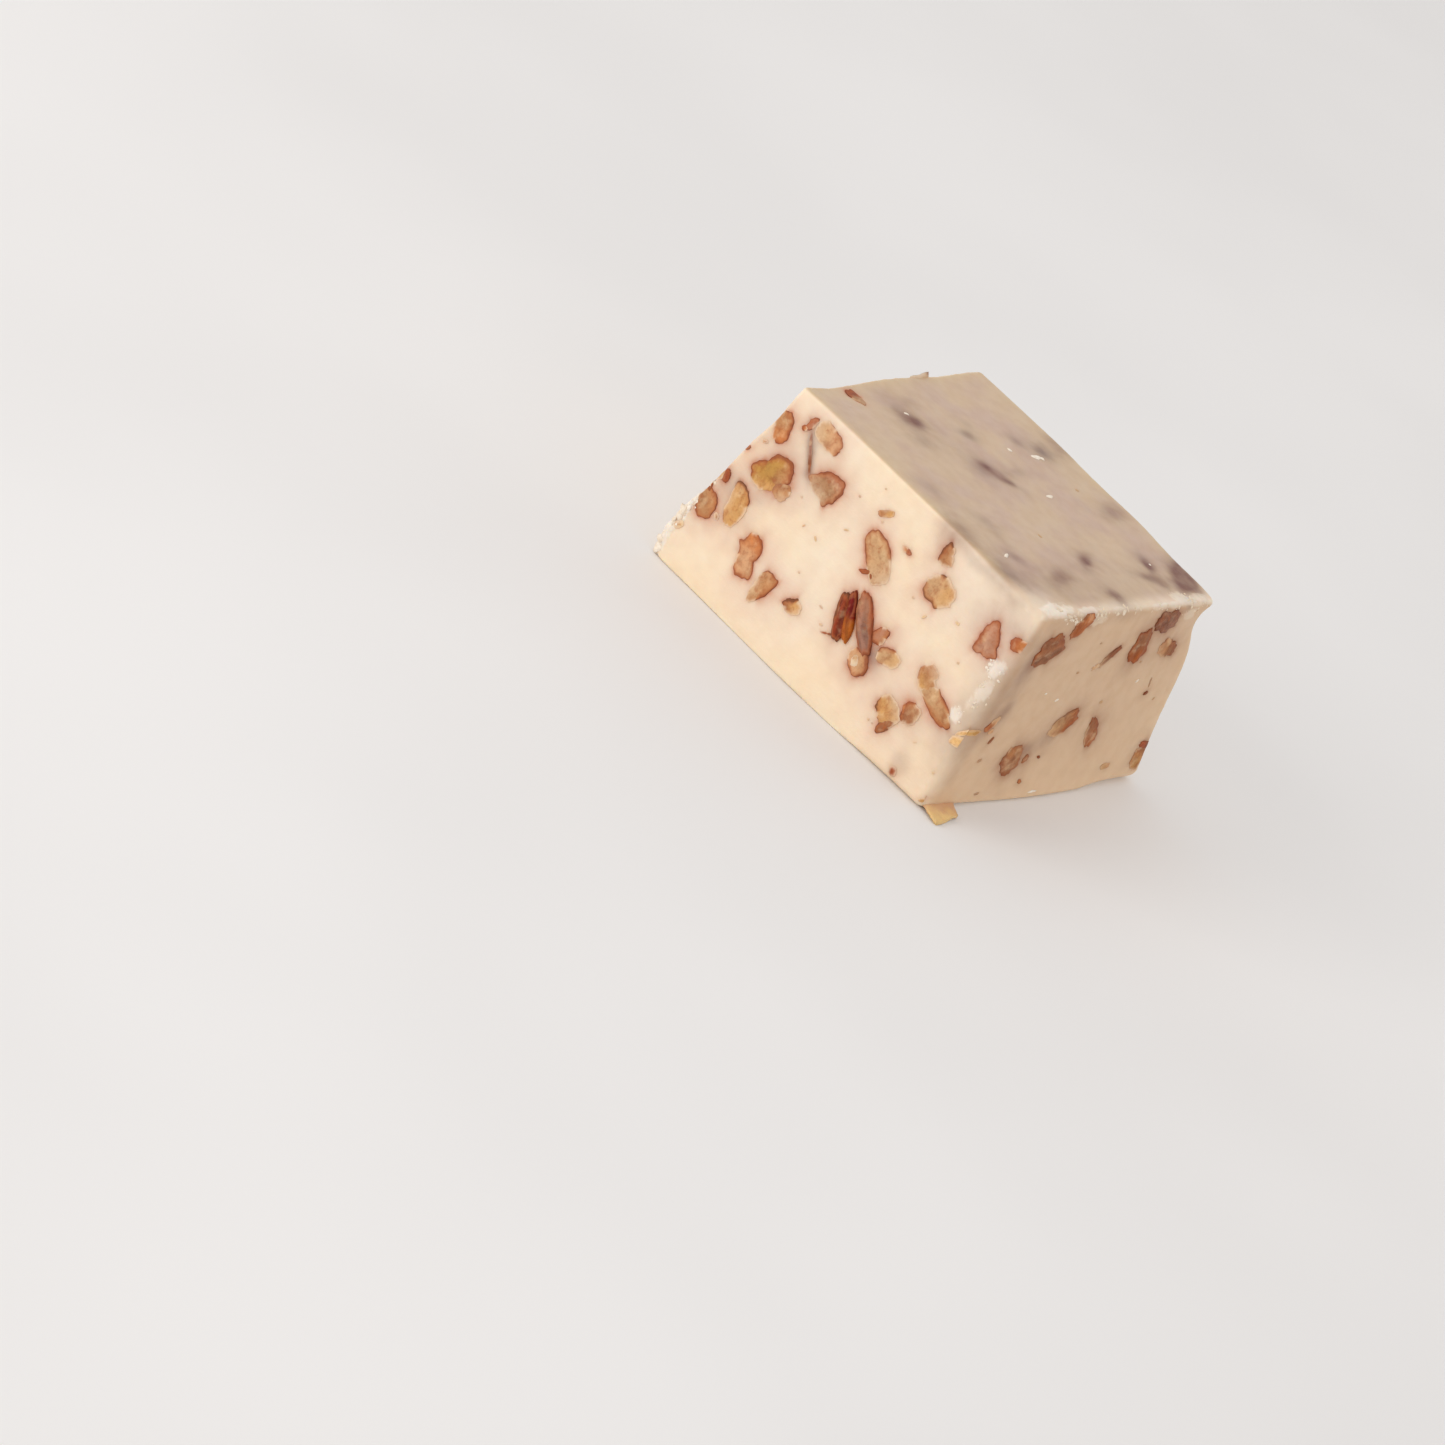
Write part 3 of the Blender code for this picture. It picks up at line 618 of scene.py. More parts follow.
END_NUTS = (
    Nut(E, -19.6, 29.0, 6.6, 5.2, 25, BROWN, BROWN, 10, (Arc(-70, 60, 0.7), Arc(100, 250, 0.4, 0.8)),
        (Dent(50, -0.12), Dent(-20, 0.08), Dent(230, 0.1)), square=2.4, ridges=0.3),
    Nut(E, -14.3, 33.0, 5.4, 3.1, 44, ORANGE, AMBER, 230, (Arc(-20, 120, 0.5), Arc(180, 300, 0.3, 0.6)),
        (Dent(200, -0.1),), square=2.4, skin_tone=UMBER),
    Nut(E, 11.8, 31.4, 6.5, 3.8, -5, CHESTNUT, MAUVE, -30, (Arc(0, 359, 0.8),), (Dent(30, 0.1),
        Dent(95, -0.08)), square=2.5, skin_tone=UMBER, gloss=0.2, ridges=0.3),
    Nut(E, 7.6, 27.2, 6.0, 4.5, 98, BROWN, AMBER, 280, (Arc(-60, 150, 0.6), Arc(170, 280, 0.4, 0.8)),
        (Dent(130, 0.08), Dent(0, -0.08)), square=2.4, ridges=0.3),
    Nut(E, 16.5, 26.2, 5.5, 3.1, -14, TAN, BROWN, 0, (Arc(-50, 90, 0.45), Arc(130, 160, 0.3, 0.7)),
        (Dent(60, -0.15),), veil_way=200, veil=0.12, skin_tone=UMBER),
    Nut(E, 0.2, 26.0, 4.8, 1.5, 48, BROWN, CHESTNUT, 60, (Arc(-20, 190, 0.5),), (Dent(225, 0.1),),
        veil_way=222, veil=0.2, skin_tone=UMBER),
    Nut(E, -2.3, 24.2, 1.8, 0.9, 20, IVORY, PEACH, 180, (), halo=0.3),
    Nut(E, -2.1, 13.8, 6.3, 4.1, 27, BEIGE, AMBER, -5, (Arc(-45, 130, 0.6), Arc(130, 180, 0.3, 0.5)),
        (Dent(-30, -0.12), Dent(28, 0.08)), veil_way=215, veil=0.1, square=2.5, skin_tone=UMBER),
    Nut(E, 7.6, 11.6, 6.0, 2.8, 120, BROWN, AMBER, -60, (Arc(-80, 140, 0.45),), (Dent(-50, 0.12),),
        veil_way=230, veil=0.12, taper=-0.3),
    Nut(E, -11.6, 8.0, 5.6, 4.7, 118, BROWN, TAN, 100, (Arc(150, 330, 0.6), Arc(-30, 120, 0.5, 0.8)),
        (Dent(40, -0.08),), square=2.3),
    Nut(E, -7.7, 7.9, 1.6, 1.2, 60, BROWN, CHESTNUT, 0, WHOLE, veil_way=180, veil=0.1),
    Nut(E, -4.1, 7.9, 0.9, 0.5, -20, CHESTNUT, UMBER, 0, WHOLE, halo=0.4),
    Nut(E, 26.4, 5.0, 4.4, 3.2, 100, GOLD, BROWN, 90, (Arc(-60, 60, 0.3, 0.7), Arc(150, 220, 0.2, 0.5))),
    Nut(E, 26.6, 7.3, 3.2, 1.4, -14, RUSSET, UMBER, 10, WHOLE),
    Nut(E, 17.4, 4.3, 2.6, 1.1, 3, GOLD, ORANGE, 0, (Arc(-100, -20, 0.2, 0.5),), veil_way=160, veil=0.3,
        halo=0.4),
    Nut(E, -6.1, 3.7, 1.1, 0.7, -30, ORANGE, BROWN, 0, THIN, halo=0.4),
    Nut(E, 17.6, 17.8, 1.1, 0.7, 10, UMBER, CHESTNUT, 0, WHOLE, halo=0.7),
    Nut(E, 17.0, 19.9, 2.0, 0.3, 110, BROWN, BROWN, 0, (), proud=0.02, halo=0.3),
    Nut(E, -23.2, 15.6, 3.4, 1.5, 46, PEACH, ORANGE, 240, (Arc(150, 300, 0.4, 0.8),), veil_way=46,
        veil=0.3, halo=0.9),
    Nut(E, -22.3, 14.2, 1.3, 0.9, 20, PEACH, PEACH, 0, (), halo=0.5),
    Nut(E, -20.7, 12.4, 1.4, 0.6, 65, BROWN, RUSSET, 0, THIN, halo=0.6),
    Nut(E, -20.5, 8.6, 1.0, 0.5, 20, MAUVE, BROWN, 0, (), halo=0.6),
    Nut(E, -16.1, 2.2, 1.1, 0.4, 10, MAUVE, BROWN, 0, (), halo=0.4),
    Nut(E, -26.6, 14.0, 2.8, 1.0, 22, STRAW, STRAW, 0, (), halo=0.6),
    Nut(T, -22.6, -15.0, 4.4, 2.2, -10, DUN, RUST, 170, (Arc(80, 260, 0.4), Arc(-60, 80, 0.1, 0.5)),
        (Dent(-30, -0.1), Dent(150, 0.1)), veil_way=0, veil=0.15, taper=-0.3),
)

# Specks of nut, by face: u, v, length, width, angle and colour.
SPECKS = (
    (F, (
        (-6.1, 23.9, 0.9, 0.35, 30, OLIVE), (-7.4, 29.2, 0.5, 0.4, 0, ROSE),
        (-12.2, 19.8, 0.6, 0.3, 60, STRAW), (-9.4, 19.6, 0.9, 0.4, -40, STRAW),
        (-2.2, 12.5, 0.8, 0.3, -10, TAN), (-0.5, 10.5, 0.7, 0.4, 10, BEIGE),
        (14.6, 4.9, 0.45, 0.35, 0, OLIVE), (15.4, 4.9, 0.35, 0.3, 0, BROWN),
        (22.8, 7.4, 0.7, 0.2, 40, BEIGE), (27.9, 5.9, 0.45, 0.4, 0, STRAW),
        (9.1, 23.5, 0.6, 0.35, 0, BEIGE), (12.3, 22.5, 0.9, 0.5, 60, STRAW),
        (-2.0, 28.7, 0.45, 0.4, 0, TAN), (-15.2, 22.8, 0.4, 0.3, 0, BEIGE),
        (-4.6, 32.8, 0.4, 0.3, 0, BEIGE), (17.3, 25.4, 0.9, 0.5, 0, STRAW),
        (-8.4, 14.0, 0.5, 0.3, 0, BEIGE), (21.0, 21.0, 0.4, 0.4, 0, BEIGE),
    )),
    (E, (
        (5.5, 17.1, 0.8, 0.6, 0, GOLD), (21.3, 16.4, 0.7, 0.4, 40, GOLD),
        (-5.2, 28.9, 0.5, 0.3, 0, BROWN), (10.4, 24.2, 0.6, 0.4, 0, MAUVE),
        (-6.9, 23.6, 0.7, 0.4, 0, TAN),
    )),
    (T, (
        (11.0, -6.0, 0.9, 0.4, 10, OLIVE), (1.4, 17.4, 0.7, 0.5, 60, OLIVE),
    )),
    (B, (
        (-14.0, 9.2, 2.1, 1.3, 40, BROWN), (-21.5, 21.0, 1.3, 0.8, -30, TAN),
        (3.2, 18.4, 1.6, 0.9, 80, ORANGE), (16.0, 17.6, 1.1, 0.7, 20, BROWN),
        (-2.5, 28.9, 0.9, 0.5, 0, OLIVE), (22.8, 6.4, 1.9, 1.1, -60, TAN),
        (9.6, 3.8, 0.8, 0.5, 30, STRAW), (-18.0, 29.6, 0.7, 0.5, 0, BEIGE),
        (11.4, 24.8, 0.6, 0.4, 50, BEIGE), (-7.8, 4.6, 1.0, 0.6, 10, RUSSET),
    )),
    (R, (
        (-17.8, 9.4, 1.8, 1.2, 30, BROWN), (14.5, 21.2, 2.0, 1.1, -40, TAN),
        (2.6, 26.4, 1.4, 0.8, 70, ORANGE), (20.4, 7.8, 1.2, 0.8, 0, BROWN),
        (-5.6, 17.5, 0.8, 0.5, 20, STRAW), (-21.5, 19.8, 0.7, 0.4, 0, OLIVE),
        (9.8, 12.6, 0.9, 0.5, 60, BEIGE), (-11.0, 29.6, 0.6, 0.4, 0, BEIGE),
    )),
)


@dataclass(frozen=True)
class DarkSpot:
    """A blurred dark spot in a wide haze: mostly a nut just under the surface, in a few rows painted shade.

    Attributes:
        face, u, v: the face, and the middle on it.
        length, width, angle: its size, and how its length is turned from +u towards +v.
        strength: how dark it is.
        red: how far its colour goes from grey to red.
        haze: how many times its own size the haze reaches.
    """

    face: Face
    u: float
    v: float
    length: float
    width: float
    angle: float
    strength: float
    red: float = 0.3
    haze: float = 2.2


# Dark spots by face, mostly nuts just under the surface and a few of painted shade: u, v, length, width,
# angle, strength, red, and haze where it isn't 2.2.
SUNKEN_NUTS_AND_SHADE = (
    (T, (
        (-15.9, -7.5, 3.4, 2.8, 70, 0.7, 0.8), (-17.6, -8.2, 5.5, 3.6, -10, 0.55, 0.4),
        (-15.9, -7.2, 1.9, 1.5, 60, 1.1, 2.0), (-12.4, 3.1, 2.6, 2.0, 60, 0.62, -0.2),
        (-20.5, -3.9, 2.6, 3.6, 0, 0.25, 0.8), (-5.0, -1.0, 3.2, 2.8, 20, 0.5, 0.6),
        (-4.9, -0.9, 1.4, 1.2, 20, 0.7, 1.8), (-1.2, 0.4, 3.0, 1.9, 50, 0.5, 0.6),
        (-1.1, 0.6, 1.8, 1.0, 50, 0.9, 2.0), (-4.9, -3.2, 5.5, 4.0, 0, 0.35, 0.5),
        (-3.3, 5.8, 2.0, 4.4, 10, 0.28, 0.7), (-7.5, 18.2, 2.8, 3.2, 0, 0.75, -0.2),
        (-9.9, 14.2, 2.4, 2.4, 0, 0.42, 0.0), (-8.6, 24.2, 4.4, 4.0, 0, 0.36, 0.7),
        (-15.0, 6.0, 2.0, 1.6, 0, 0.2, 0.7), (7.1, 20.5, 3.4, 5.4, 0, 0.52, 1.0),
        (23.6, 19.8, 2.8, 2.1, -50, 2.4, 2.4), (19.1, 15.0, 1.2, 0.9, -30, 1.1, 2.0),
        (17.0, -0.6, 2.4, 1.0, -62, 1.1, 2.2), (23.2, 20.6, 5.2, 3.0, -52, 1.6, 1.3, 1.7),
        (21.2, 22.0, 6.6, 3.4, -40, 1.0, 0.5, 1.7), (18.9, 15.2, 2.8, 1.8, -30, 0.75, 0.4),
        (17.6, 15.4, 3.0, 2.4, 0, 0.3, 0.0), (21.8, 12.2, 6.0, 2.2, 70, 0.6, 0.6),
        (17.1, -0.9, 3.8, 2.0, -62, 0.65, 1.0), (25.0, -2.9, 3.4, 2.8, 20, 0.75, 1.6),
        (20.4, -12.3, 6.0, 2.6, -75, 0.55, 1.1), (7.6, -17.0, 5.0, 3.0, 0, 0.28, 0.4),
        (15.2, -18.9, 3.4, 2.6, 20, 0.38, 0.2), (18.6, -24.3, 6.0, 4.0, 10, 0.5, 0.2),
        (8.9, -25.0, 5.0, 3.6, 0, 0.42, 0.9), (-1.1, -21.5, 4.4, 3.0, 20, 0.25, 0.4),
        (-11.4, -10.7, 3.0, 4.0, 0, 0.3, 0.1),
    )),
    (E, (
        # The first spot here is painted shade on the rounded edge beside the front.
        (-23.0, 24.5, 3.0, 9.0, 0, 0.34, 0.2), (-21.8, 17.8, 2.4, 4.0, -30, 0.45, 0.3),
        (-5.2, 11.4, 4.0, 3.0, 20, 0.3, 0.2), (8.2, 24.0, 5.0, 3.0, 20, 0.1, 0.2),
        (-8.8, 9.8, 3.0, 2.4, 0, 0.35, 0.2),
    )),
    (F, (
        (8.2, 33.2, 3.6, 3.2, -60, 0.2, 0.3), (9.0, 12.2, 3.6, 2.6, -50, 0.5, 0.8, 1.6),
        # The spots at 29.0, 16.0 and at 23.0, 30.5 are painted shade at the front's right end.
        (22.8, 3.4, 3.2, 3.0, 0, 0.2, 1.6), (29.0, 16.0, 7.0, 22.0, 0, 0.27, 0.2, 1.3),
        (23.0, 30.5, 9.0, 7.0, 0, 0.2, 0.3, 1.3),
    )),
    (T, (
        # Two wide faint spots that darken the top towards its right.
        (24.0, -8.0, 12.0, 26.0, 0, 0.12, 1.2, 1.3), (22.0, -21.0, 14.0, 10.0, 0, 0.08, 0.6, 1.3),
    )),
    (F, (
        (-25.6, 17.0, 4.0, 3.0, 0, 0.22, 0.4), (-18.1, 28.6, 6.4, 1.3, -53.7, 0.7, 1.2, 1.5),
        (-19.5, 26.0, 12.0, 10.0, 0, 0.13, 0.0, 1.3), (-25.0, 15.0, 9.0, 9.0, 0, 0.1, 0.1, 1.3),
        (7.0, 13.0, 9.0, 7.0, 0, 0.07, 0.4, 1.3), (19.0, 9.0, 9.0, 7.0, 0, 0.04, 0.1, 1.3),
        (24.6, 11.6, 4.0, 6.0, 0, 0.1, 0.8, 1.3),
    )),
    (B, (
        (-6.0, 20.0, 4.0, 2.4, 30, 0.5, 0.4), (12.0, 10.0, 5.0, 2.0, -40, 0.4, 0.4),
        (20.0, 27.0, 3.0, 2.0, 10, 0.4, 0.4),
    )),
    (R, (
        (4.0, 12.0, 4.0, 2.2, 20, 0.4, 0.4), (-14.0, 25.0, 4.0, 2.2, -40, 0.4, 0.4),
    )),
)


def drawn(points: Array) -> Array:
    """Points of the frame, in metres, as the drawing measures them."""
    return np.array(points) / MM + ORIGIN


def points_of(verts: bmesh.types.BMVertSeq) -> Array:
    """The places of vertices, one row each."""
    return np.array([vert.co[:] for vert in verts])


def move_to(verts: bmesh.types.BMVertSeq, points: Array, lowest: float = 0.0) -> None:
    """Move vertices to places that the drawing measures.

    Args:
        verts: the vertices.
        points: their places, in millimetres.
        lowest: a place below this height is lifted to it.
    """
    points[:, 2] = np.maximum(points[:, 2], lowest)
    for vert, place in zip(verts, (points - ORIGIN) * MM):
        vert.co = place


def face_outwards(mesh: BMesh) -> None:
    """Turn the faces of a closed mesh outwards, and store them in one fixed order.

    Some operators leave the faces in an order that changes from run to run. Neighbours run opposite
    ways along the edge that they share, so the way that its first edge runs tells a face from all others.

    Args:
        mesh: the bmesh.
    """
    bmesh.ops.recalc_face_normals(mesh, faces=mesh.faces)
    mesh.verts.index_update()
    count = len(mesh.verts)
    mesh.faces.sort(key=lambda face: face.verts[0].index * count + face.verts[1].index)


class Socket:
    """A shader socket that arithmetic can be done on; each operation adds its Math node."""

    def __init__(self, nodes: "NodeBench", link: bpy.types.NodeSocket) -> None:
        """Wrap a socket.

        Args:
            nodes: the bench that adds nodes to the material.
            link: the output socket.
        """
        self.nodes = nodes
        self.link = link

    def math(self, operation: str, *values: "Socket | float", clamp: bool = False) -> "Socket":
        """A Math node on this socket and the values given.

        Args:
            operation: the node's operation.
            values: the other inputs.
            clamp: keep the result from 0 to 1.

        Returns:
            The result.
        """
        inputs = {i: value for i, value in enumerate((self, *values))}
        return self.nodes.add("ShaderNodeMath", {"operation": operation, "use_clamp": clamp}, inputs)

    def __add__(self, other: "Socket | float") -> "Socket":
        """self + other."""
        return self.math("ADD", other)

    __radd__ = __add__

    def __mul__(self, other: "Socket | float") -> "Socket":
        """self * other."""
        return self.math("MULTIPLY", other)

    __rmul__ = __mul__

    def __sub__(self, other: "Socket | float") -> "Socket":
        """self - other."""
        return self.math("SUBTRACT", other)

    def __rsub__(self, other: float) -> "Socket":
        """other - self."""
        return self.nodes.add("ShaderNodeMath", {"operation": "SUBTRACT"}, {0: other, 1: self})

    def held(self) -> "Socket":
        """The value kept from 0 to 1."""
        return self.math("ADD", 0.0, clamp=True)

    def ramp(self, low: float, high: float, start: float = 0.0, end: float = 1.0) -> "Socket":
        """Start below low, end above high, smooth between.

        Args:
            low, high: where the change starts and ends.
            start, end: the results there.

        Returns:
            The result.
        """
        settings = {"interpolation_type": "SMOOTHSTEP"}
        values = {"Value": self, "From Min": low, "From Max": high, "To Min": start, "To Max": end}
        return self.nodes.add("ShaderNodeMapRange", settings, values)


class NodeBench:
    """Adds nodes to one material."""

    def __init__(self, name: str) -> None:
        """Start a material with a Principled shader.

        Args:
            name: the material's name.
        """
        self.material = bpy.data.materials.new(name)
        self.material.use_nodes = True
        self.tree = self.material.node_tree
        self.shader = self.tree.nodes["Principled BSDF"]

    def add(self, kind: str, settings: dict, inputs: dict, output: str | int = 0) -> Socket:
        """Add one node: its settings first, then its sockets.

        Args:
            kind: the node's type.
            settings: attributes of the node.
            inputs: values or links, by socket name or number.
            output: which output to return.

        Returns:
            That output.
        """
        node = self.tree.nodes.new(kind)
        for name, value in settings.items():
            setattr(node, name, value)
        for key, value in inputs.items():
            self.put(node.inputs[key], value)
        return Socket(self, node.outputs[output])

    def put(self, target: bpy.types.NodeSocket, value: "Socket | float | tuple") -> None:
        """Set an input socket, or link it.

        Args:
            target: the input socket.
            value: what it takes.
        """
        if isinstance(value, Socket):
            self.tree.links.new(value.link, target)
        elif isinstance(value, tuple) and len(value) == 3 and target.type == "RGBA":
            target.default_value = (*value, 1.0)
        else:
            target.default_value = value

    def mix(
        self, factor: "Socket | float", first: "Socket | tuple", second: "Socket | tuple", how: str = "MIX"
    ) -> Socket:
        """Mix two colours.

        Args:
            factor: how much of the second.
            first, second: the colours.
            how: the blend type.

        Returns:
            The mixed colour.
        """
        settings = {"data_type": "RGBA", "blend_type": how}
        return self.add("ShaderNodeMix", settings, {0: factor, 6: first, 7: second}, 2)

    def noise(
        self, scale: float, detail: float = 3.0, stretch: tuple | None = None, rough: float = 0.5
    ) -> Socket:
        """Noise on Object coordinates, its scale in cells for each metre.

        Args:
            scale: cells for each metre.
            detail: layers.
            stretch: a scale for each axis.
            rough: how strong the finer layers are.

        Returns:
            The noise, from 0 to 1.
        """
        where = self.add("ShaderNodeTexCoord", {}, {}, "Object")
        if stretch:
            where = self.add("ShaderNodeMapping", {}, {"Vector": where, "Scale": stretch})
        values = {"Vector": where, "Scale": scale, "Detail": detail, "Roughness": rough}
        return self.add("ShaderNodeTexNoise", {"noise_dimensions": "3D"}, values)

    def colour(self, name: str) -> Socket:
        """A colour attribute as a colour."""
        settings = {"attribute_type": "GEOMETRY", "attribute_name": name}
        return self.add("ShaderNodeAttribute", settings, {}, "Color")

    def marks(self, name: str) -> tuple[Socket, ...]:
        """The three values of a colour attribute."""
        split = self.add("ShaderNodeSeparateColor", {}, {0: self.colour(name)}).link.node
        return tuple(Socket(self, output) for output in split.outputs)

    def bump(self, height: Socket, distance: float, strength: float = 1.0) -> Socket:
        """A Bump node, its distance in metres."""
        inputs = {"Height": height, "Distance": distance, "Strength": strength}
        return self.add("ShaderNodeBump", {}, inputs)

    def finish(self, **inputs: "Socket | float | tuple") -> Material:
        """Set the shader's inputs, named with _ for each space.

        Args:
            inputs: values or links.

        Returns:
            The material.
        """
        for name, value in inputs.items():
            self.put(self.shader.inputs[name.replace("_", " ")], value)
        return self.material


@dataclass(frozen=True)
class FudgeFinish:
    """Cream fudge: waxy, slightly see-through, stained where nuts lie in it, with painted light and shade
    in its colours.

    Each cells value is the scale of a noise, in cells for each metre.
    """

    cream: tuple = linear(250, 231, 207)
    warm: tuple = linear(253, 228, 195)
    # Painted light: a warm glow of light bounced up from the floor, also laid on the end face towards its
    # back edge.
    glow: tuple = linear(255, 223, 184)
    skin: tuple = linear(213, 186, 158)
    skin_mauve: tuple = linear(206, 177, 158)
    # Painted highlight along the top's borders.
    skin_edge: tuple = linear(218, 193, 152)
    # The end face's cream, painted darker and browner than the front's though it is cut the same: painted
    # shade.
    cut_end: tuple = linear(221, 187, 152)
    haze: tuple = linear(224, 188, 170)
    # The end face's haze, painted darker with it: stain colour with painted shade.
    haze_end: tuple = linear(190, 152, 124)
    bleed: tuple = linear(220, 170, 122)
    bleed_skin: tuple = linear(208, 112, 70)
    # The end face's bleeding, painted darker with it: stain colour with painted shade.
    bleed_end: tuple = linear(178, 120, 82)
    # The colours of the dark spots: nuts seen just under the surface, and a few spots of painted shade.
    grey_nut: tuple = linear(116, 88, 84)
    red_nut: tuple = linear(106, 48, 44)
    crumb: tuple = linear(254, 244, 231)
    # Crumbs on the top and end faces, painted duller as painted half-shade.
    crumb_dull: tuple = linear(234, 213, 188)
    oil: tuple = (0.66, 0.5, 0.34)
    scatter: Triple = (1.0, 0.6, 0.36)
    scatter_scale: float = 0.0016
    drift_cells: float = 55
    skin_cells: float = 130
    cloud_cells: float = 330
    mottle_cells: float = 420
    stain_cells: float = 900
    grain_cells: float = 2600
    drag: Triple = (0.15, 0.6, 1.5)
    relief: float = 0.00014
    haze_share: float = 0.75
    bleed_share: float = 0.8
    buried_share: float = 0.85
    crumb_share: float = 0.7

    def build(self) -> Material:
        """Make the material.

        Returns:
            The material, which reads the attributes stain, crust and tint.
        """
        bench = NodeBench("cream_fudge")
        bleed, haze, dark_spots = bench.marks("stain")
        crumb, skin, end = bench.marks("crust")
        glow, red, skinned = bench.marks("tint")
        drift = bench.noise(self.drift_cells)
        mottle = bench.noise(self.mottle_cells, 4.0)
        colour = bench.mix(drift.ramp(0.35, 0.7, 0.0, 0.7), self.cream, self.warm)
        # The end face's cream is painted darker: painted shade.
        colour = bench.mix(end, colour, self.cut_end)
        top = bench.mix(bench.noise(self.skin_cells, 4.0).ramp(0.38, 0.66), self.skin, self.skin_mauve)
        colour = bench.mix(skin, colour, top)
        # Painted light: a warm glow near the floor and towards the end face's back edge, and a highlight
        # along the top's borders.
        colour = bench.mix(glow, colour, bench.mix(skin, self.glow, self.skin_edge))
        hazy = bench.mix(skin, bench.mix(end, self.haze, self.haze_end), self.skin_mauve)
        colour = bench.mix(haze * self.haze_share, colour, hazy)
        bled = bench.mix(end, bench.mix(skinned, self.bleed, self.bleed_skin), self.bleed_end)
        uneven = bench.noise(self.stain_cells).ramp(0.2, 0.7, 0.5, 1.1)
        colour = bench.mix((bleed * uneven).held() * self.bleed_share, colour, bled)
        # Dark spots: nuts just under the surface, and a few wide spots of painted shade about the edge
        # between front and end.
        cloud = bench.noise(self.cloud_cells, 4.0).ramp(0.25, 0.75, 0.8, 1.12)
        buried = bench.mix(red, self.grey_nut, self.red_nut)
        colour = bench.mix((dark_spots * cloud).held() * self.buried_share, colour, buried)
        # Crumbled spots whiten; on the top and end faces with a duller colour of painted half-shade.
        covered = crumb * self.crumb_share
        colour = bench.mix(covered, colour, bench.mix((skin + end).held(), self.crumb, self.crumb_dull))
        shade = bench.mix(mottle.ramp(0.3, 0.75, 0.0, 0.12), colour, self.oil, "MULTIPLY")
        drag = bench.noise(self.stain_cells, stretch=self.drag)
        grain = bench.noise(self.grain_cells)
        relief = bench.bump(drag * 0.5 + grain * 0.5 + mottle * 0.5, self.relief, 0.5)
        return bench.finish(
            Base_Color=shade,
            Roughness=mottle.ramp(0.2, 0.8, 0.42, 0.58) + crumb * 0.25,
            Normal=relief,
            Subsurface_Weight=0.3,
            Subsurface_Radius=self.scatter,
            Subsurface_Scale=self.scatter_scale,
            Specular_IOR_Level=0.35,
        )


@dataclass(frozen=True)
class CrumbFinish:
    """Dry crumbs of fudge, whiter where the attribute white is high."""

    cream: tuple = linear(255, 245, 231)
    shade: tuple = linear(238, 217, 190)
    mottle_cells: float = 1300

    def build(self) -> Material:
        """Make the material.

        Returns:
            The material, which reads the attribute white.
        """
        bench = NodeBench("fudge_crumb")
        mottle = bench.noise(self.mottle_cells)
        white, _, _ = bench.marks("white")
        colour = bench.mix((mottle.ramp(0.3, 0.7, 0.0, 0.5) + 1 - white).held(), self.cream, self.shade)
        return bench.finish(
            Base_Color=colour,
            Roughness=mottle.ramp(0.2, 0.8, 0.6, 0.8),
            Normal=bench.bump(mottle, 0.0001, 0.4),
        )


@dataclass(frozen=True)
class PecanFinish:
    """Pecan cut through: oily meat with darker skin at the rim."""

    oil: tuple = linear(186, 128, 84)
    # The colour of the pale patches: partly paler meat, partly painted highlight.
    light: tuple = linear(246, 214, 168)
    inner_skin: tuple = linear(186, 104, 56)
    husk: tuple = linear(84, 40, 22)
    fibre_cells: float = 700
    speck_cells: float = 2400
    pale_cells: float = 520
    vein_cells: float = 430
    line_cells: float = 850
    relief: float = 0.0003

    def build(self) -> Material:
        """Make the material.

        Returns:
            The material, which reads the attributes meat, rind, look and rim.
        """
        bench = NodeBench("pecan")
        meat = bench.colour("meat")
        rind = bench.colour("rind")
        inward, width, strength = bench.marks("rim")
        whole, gloss, _ = bench.marks("look")
        fibre = bench.noise(self.fibre_cells, 5.0, rough=0.62)
        speck = bench.noise(self.speck_cells)
        colour = bench.mix(fibre.ramp(0.42, 0.7, 0.0, 0.45) * whole, meat, self.oil, "MULTIPLY")
        # Pale patches, fewer on glossy lobes: partly paler meat, partly painted highlight.
        pale = bench.noise(self.pale_cells, 4.0, (1.3, 0.8, 1.0)).ramp(0.5, 0.75, 0.0, 0.38)
        colour = bench.mix(pale * (1 - gloss) * whole, colour, self.light)
        colour = bench.mix(speck.ramp(0.5, 0.8, 0.0, 0.28) * whole, colour, self.oil, "MULTIPLY")
        edge = (width - inward) * 2.0 + (speck - 0.5) * 0.22
        wide = width.ramp(0.0, 0.06)
        vein = (bench.noise(self.vein_cells, 2.0, (1.0, 1.6, 0.8)) - 0.5).math("ABSOLUTE")
        vein = vein.ramp(0.035, 0.0, 0.0, 0.4)
        colour = bench.mix(vein * whole * fibre.ramp(0.4, 0.6), colour, self.inner_skin)
        colour = bench.mix(edge.ramp(-0.9, 0.1, 0.0, 0.6) * strength * wide, colour, self.inner_skin)
        colour = bench.mix(edge.ramp(-0.2, 0.26, 0.0, 0.85) * strength * wide, colour, rind)
        line = inward.ramp(0.09, 0.03) * bench.noise(self.line_cells, 2.0).ramp(0.42, 0.56)
        line = line * strength * wide
        colour = bench.mix(line * 0.6, colour, bench.mix(0.5, rind, self.husk))
        relief = bench.bump(fibre * 0.7 + speck * 0.3, self.relief, 0.8)
        return bench.finish(
            Base_Color=colour,
            Roughness=0.56 - gloss * 0.34 + speck.ramp(0.2, 0.8, -0.05, 0.06),
            Normal=relief,
            Subsurface_Weight=0.06,
            Subsurface_Radius=(1.0, 0.5, 0.25),
            Subsurface_Scale=0.0006,
            Specular_IOR_Level=0.22,
        )


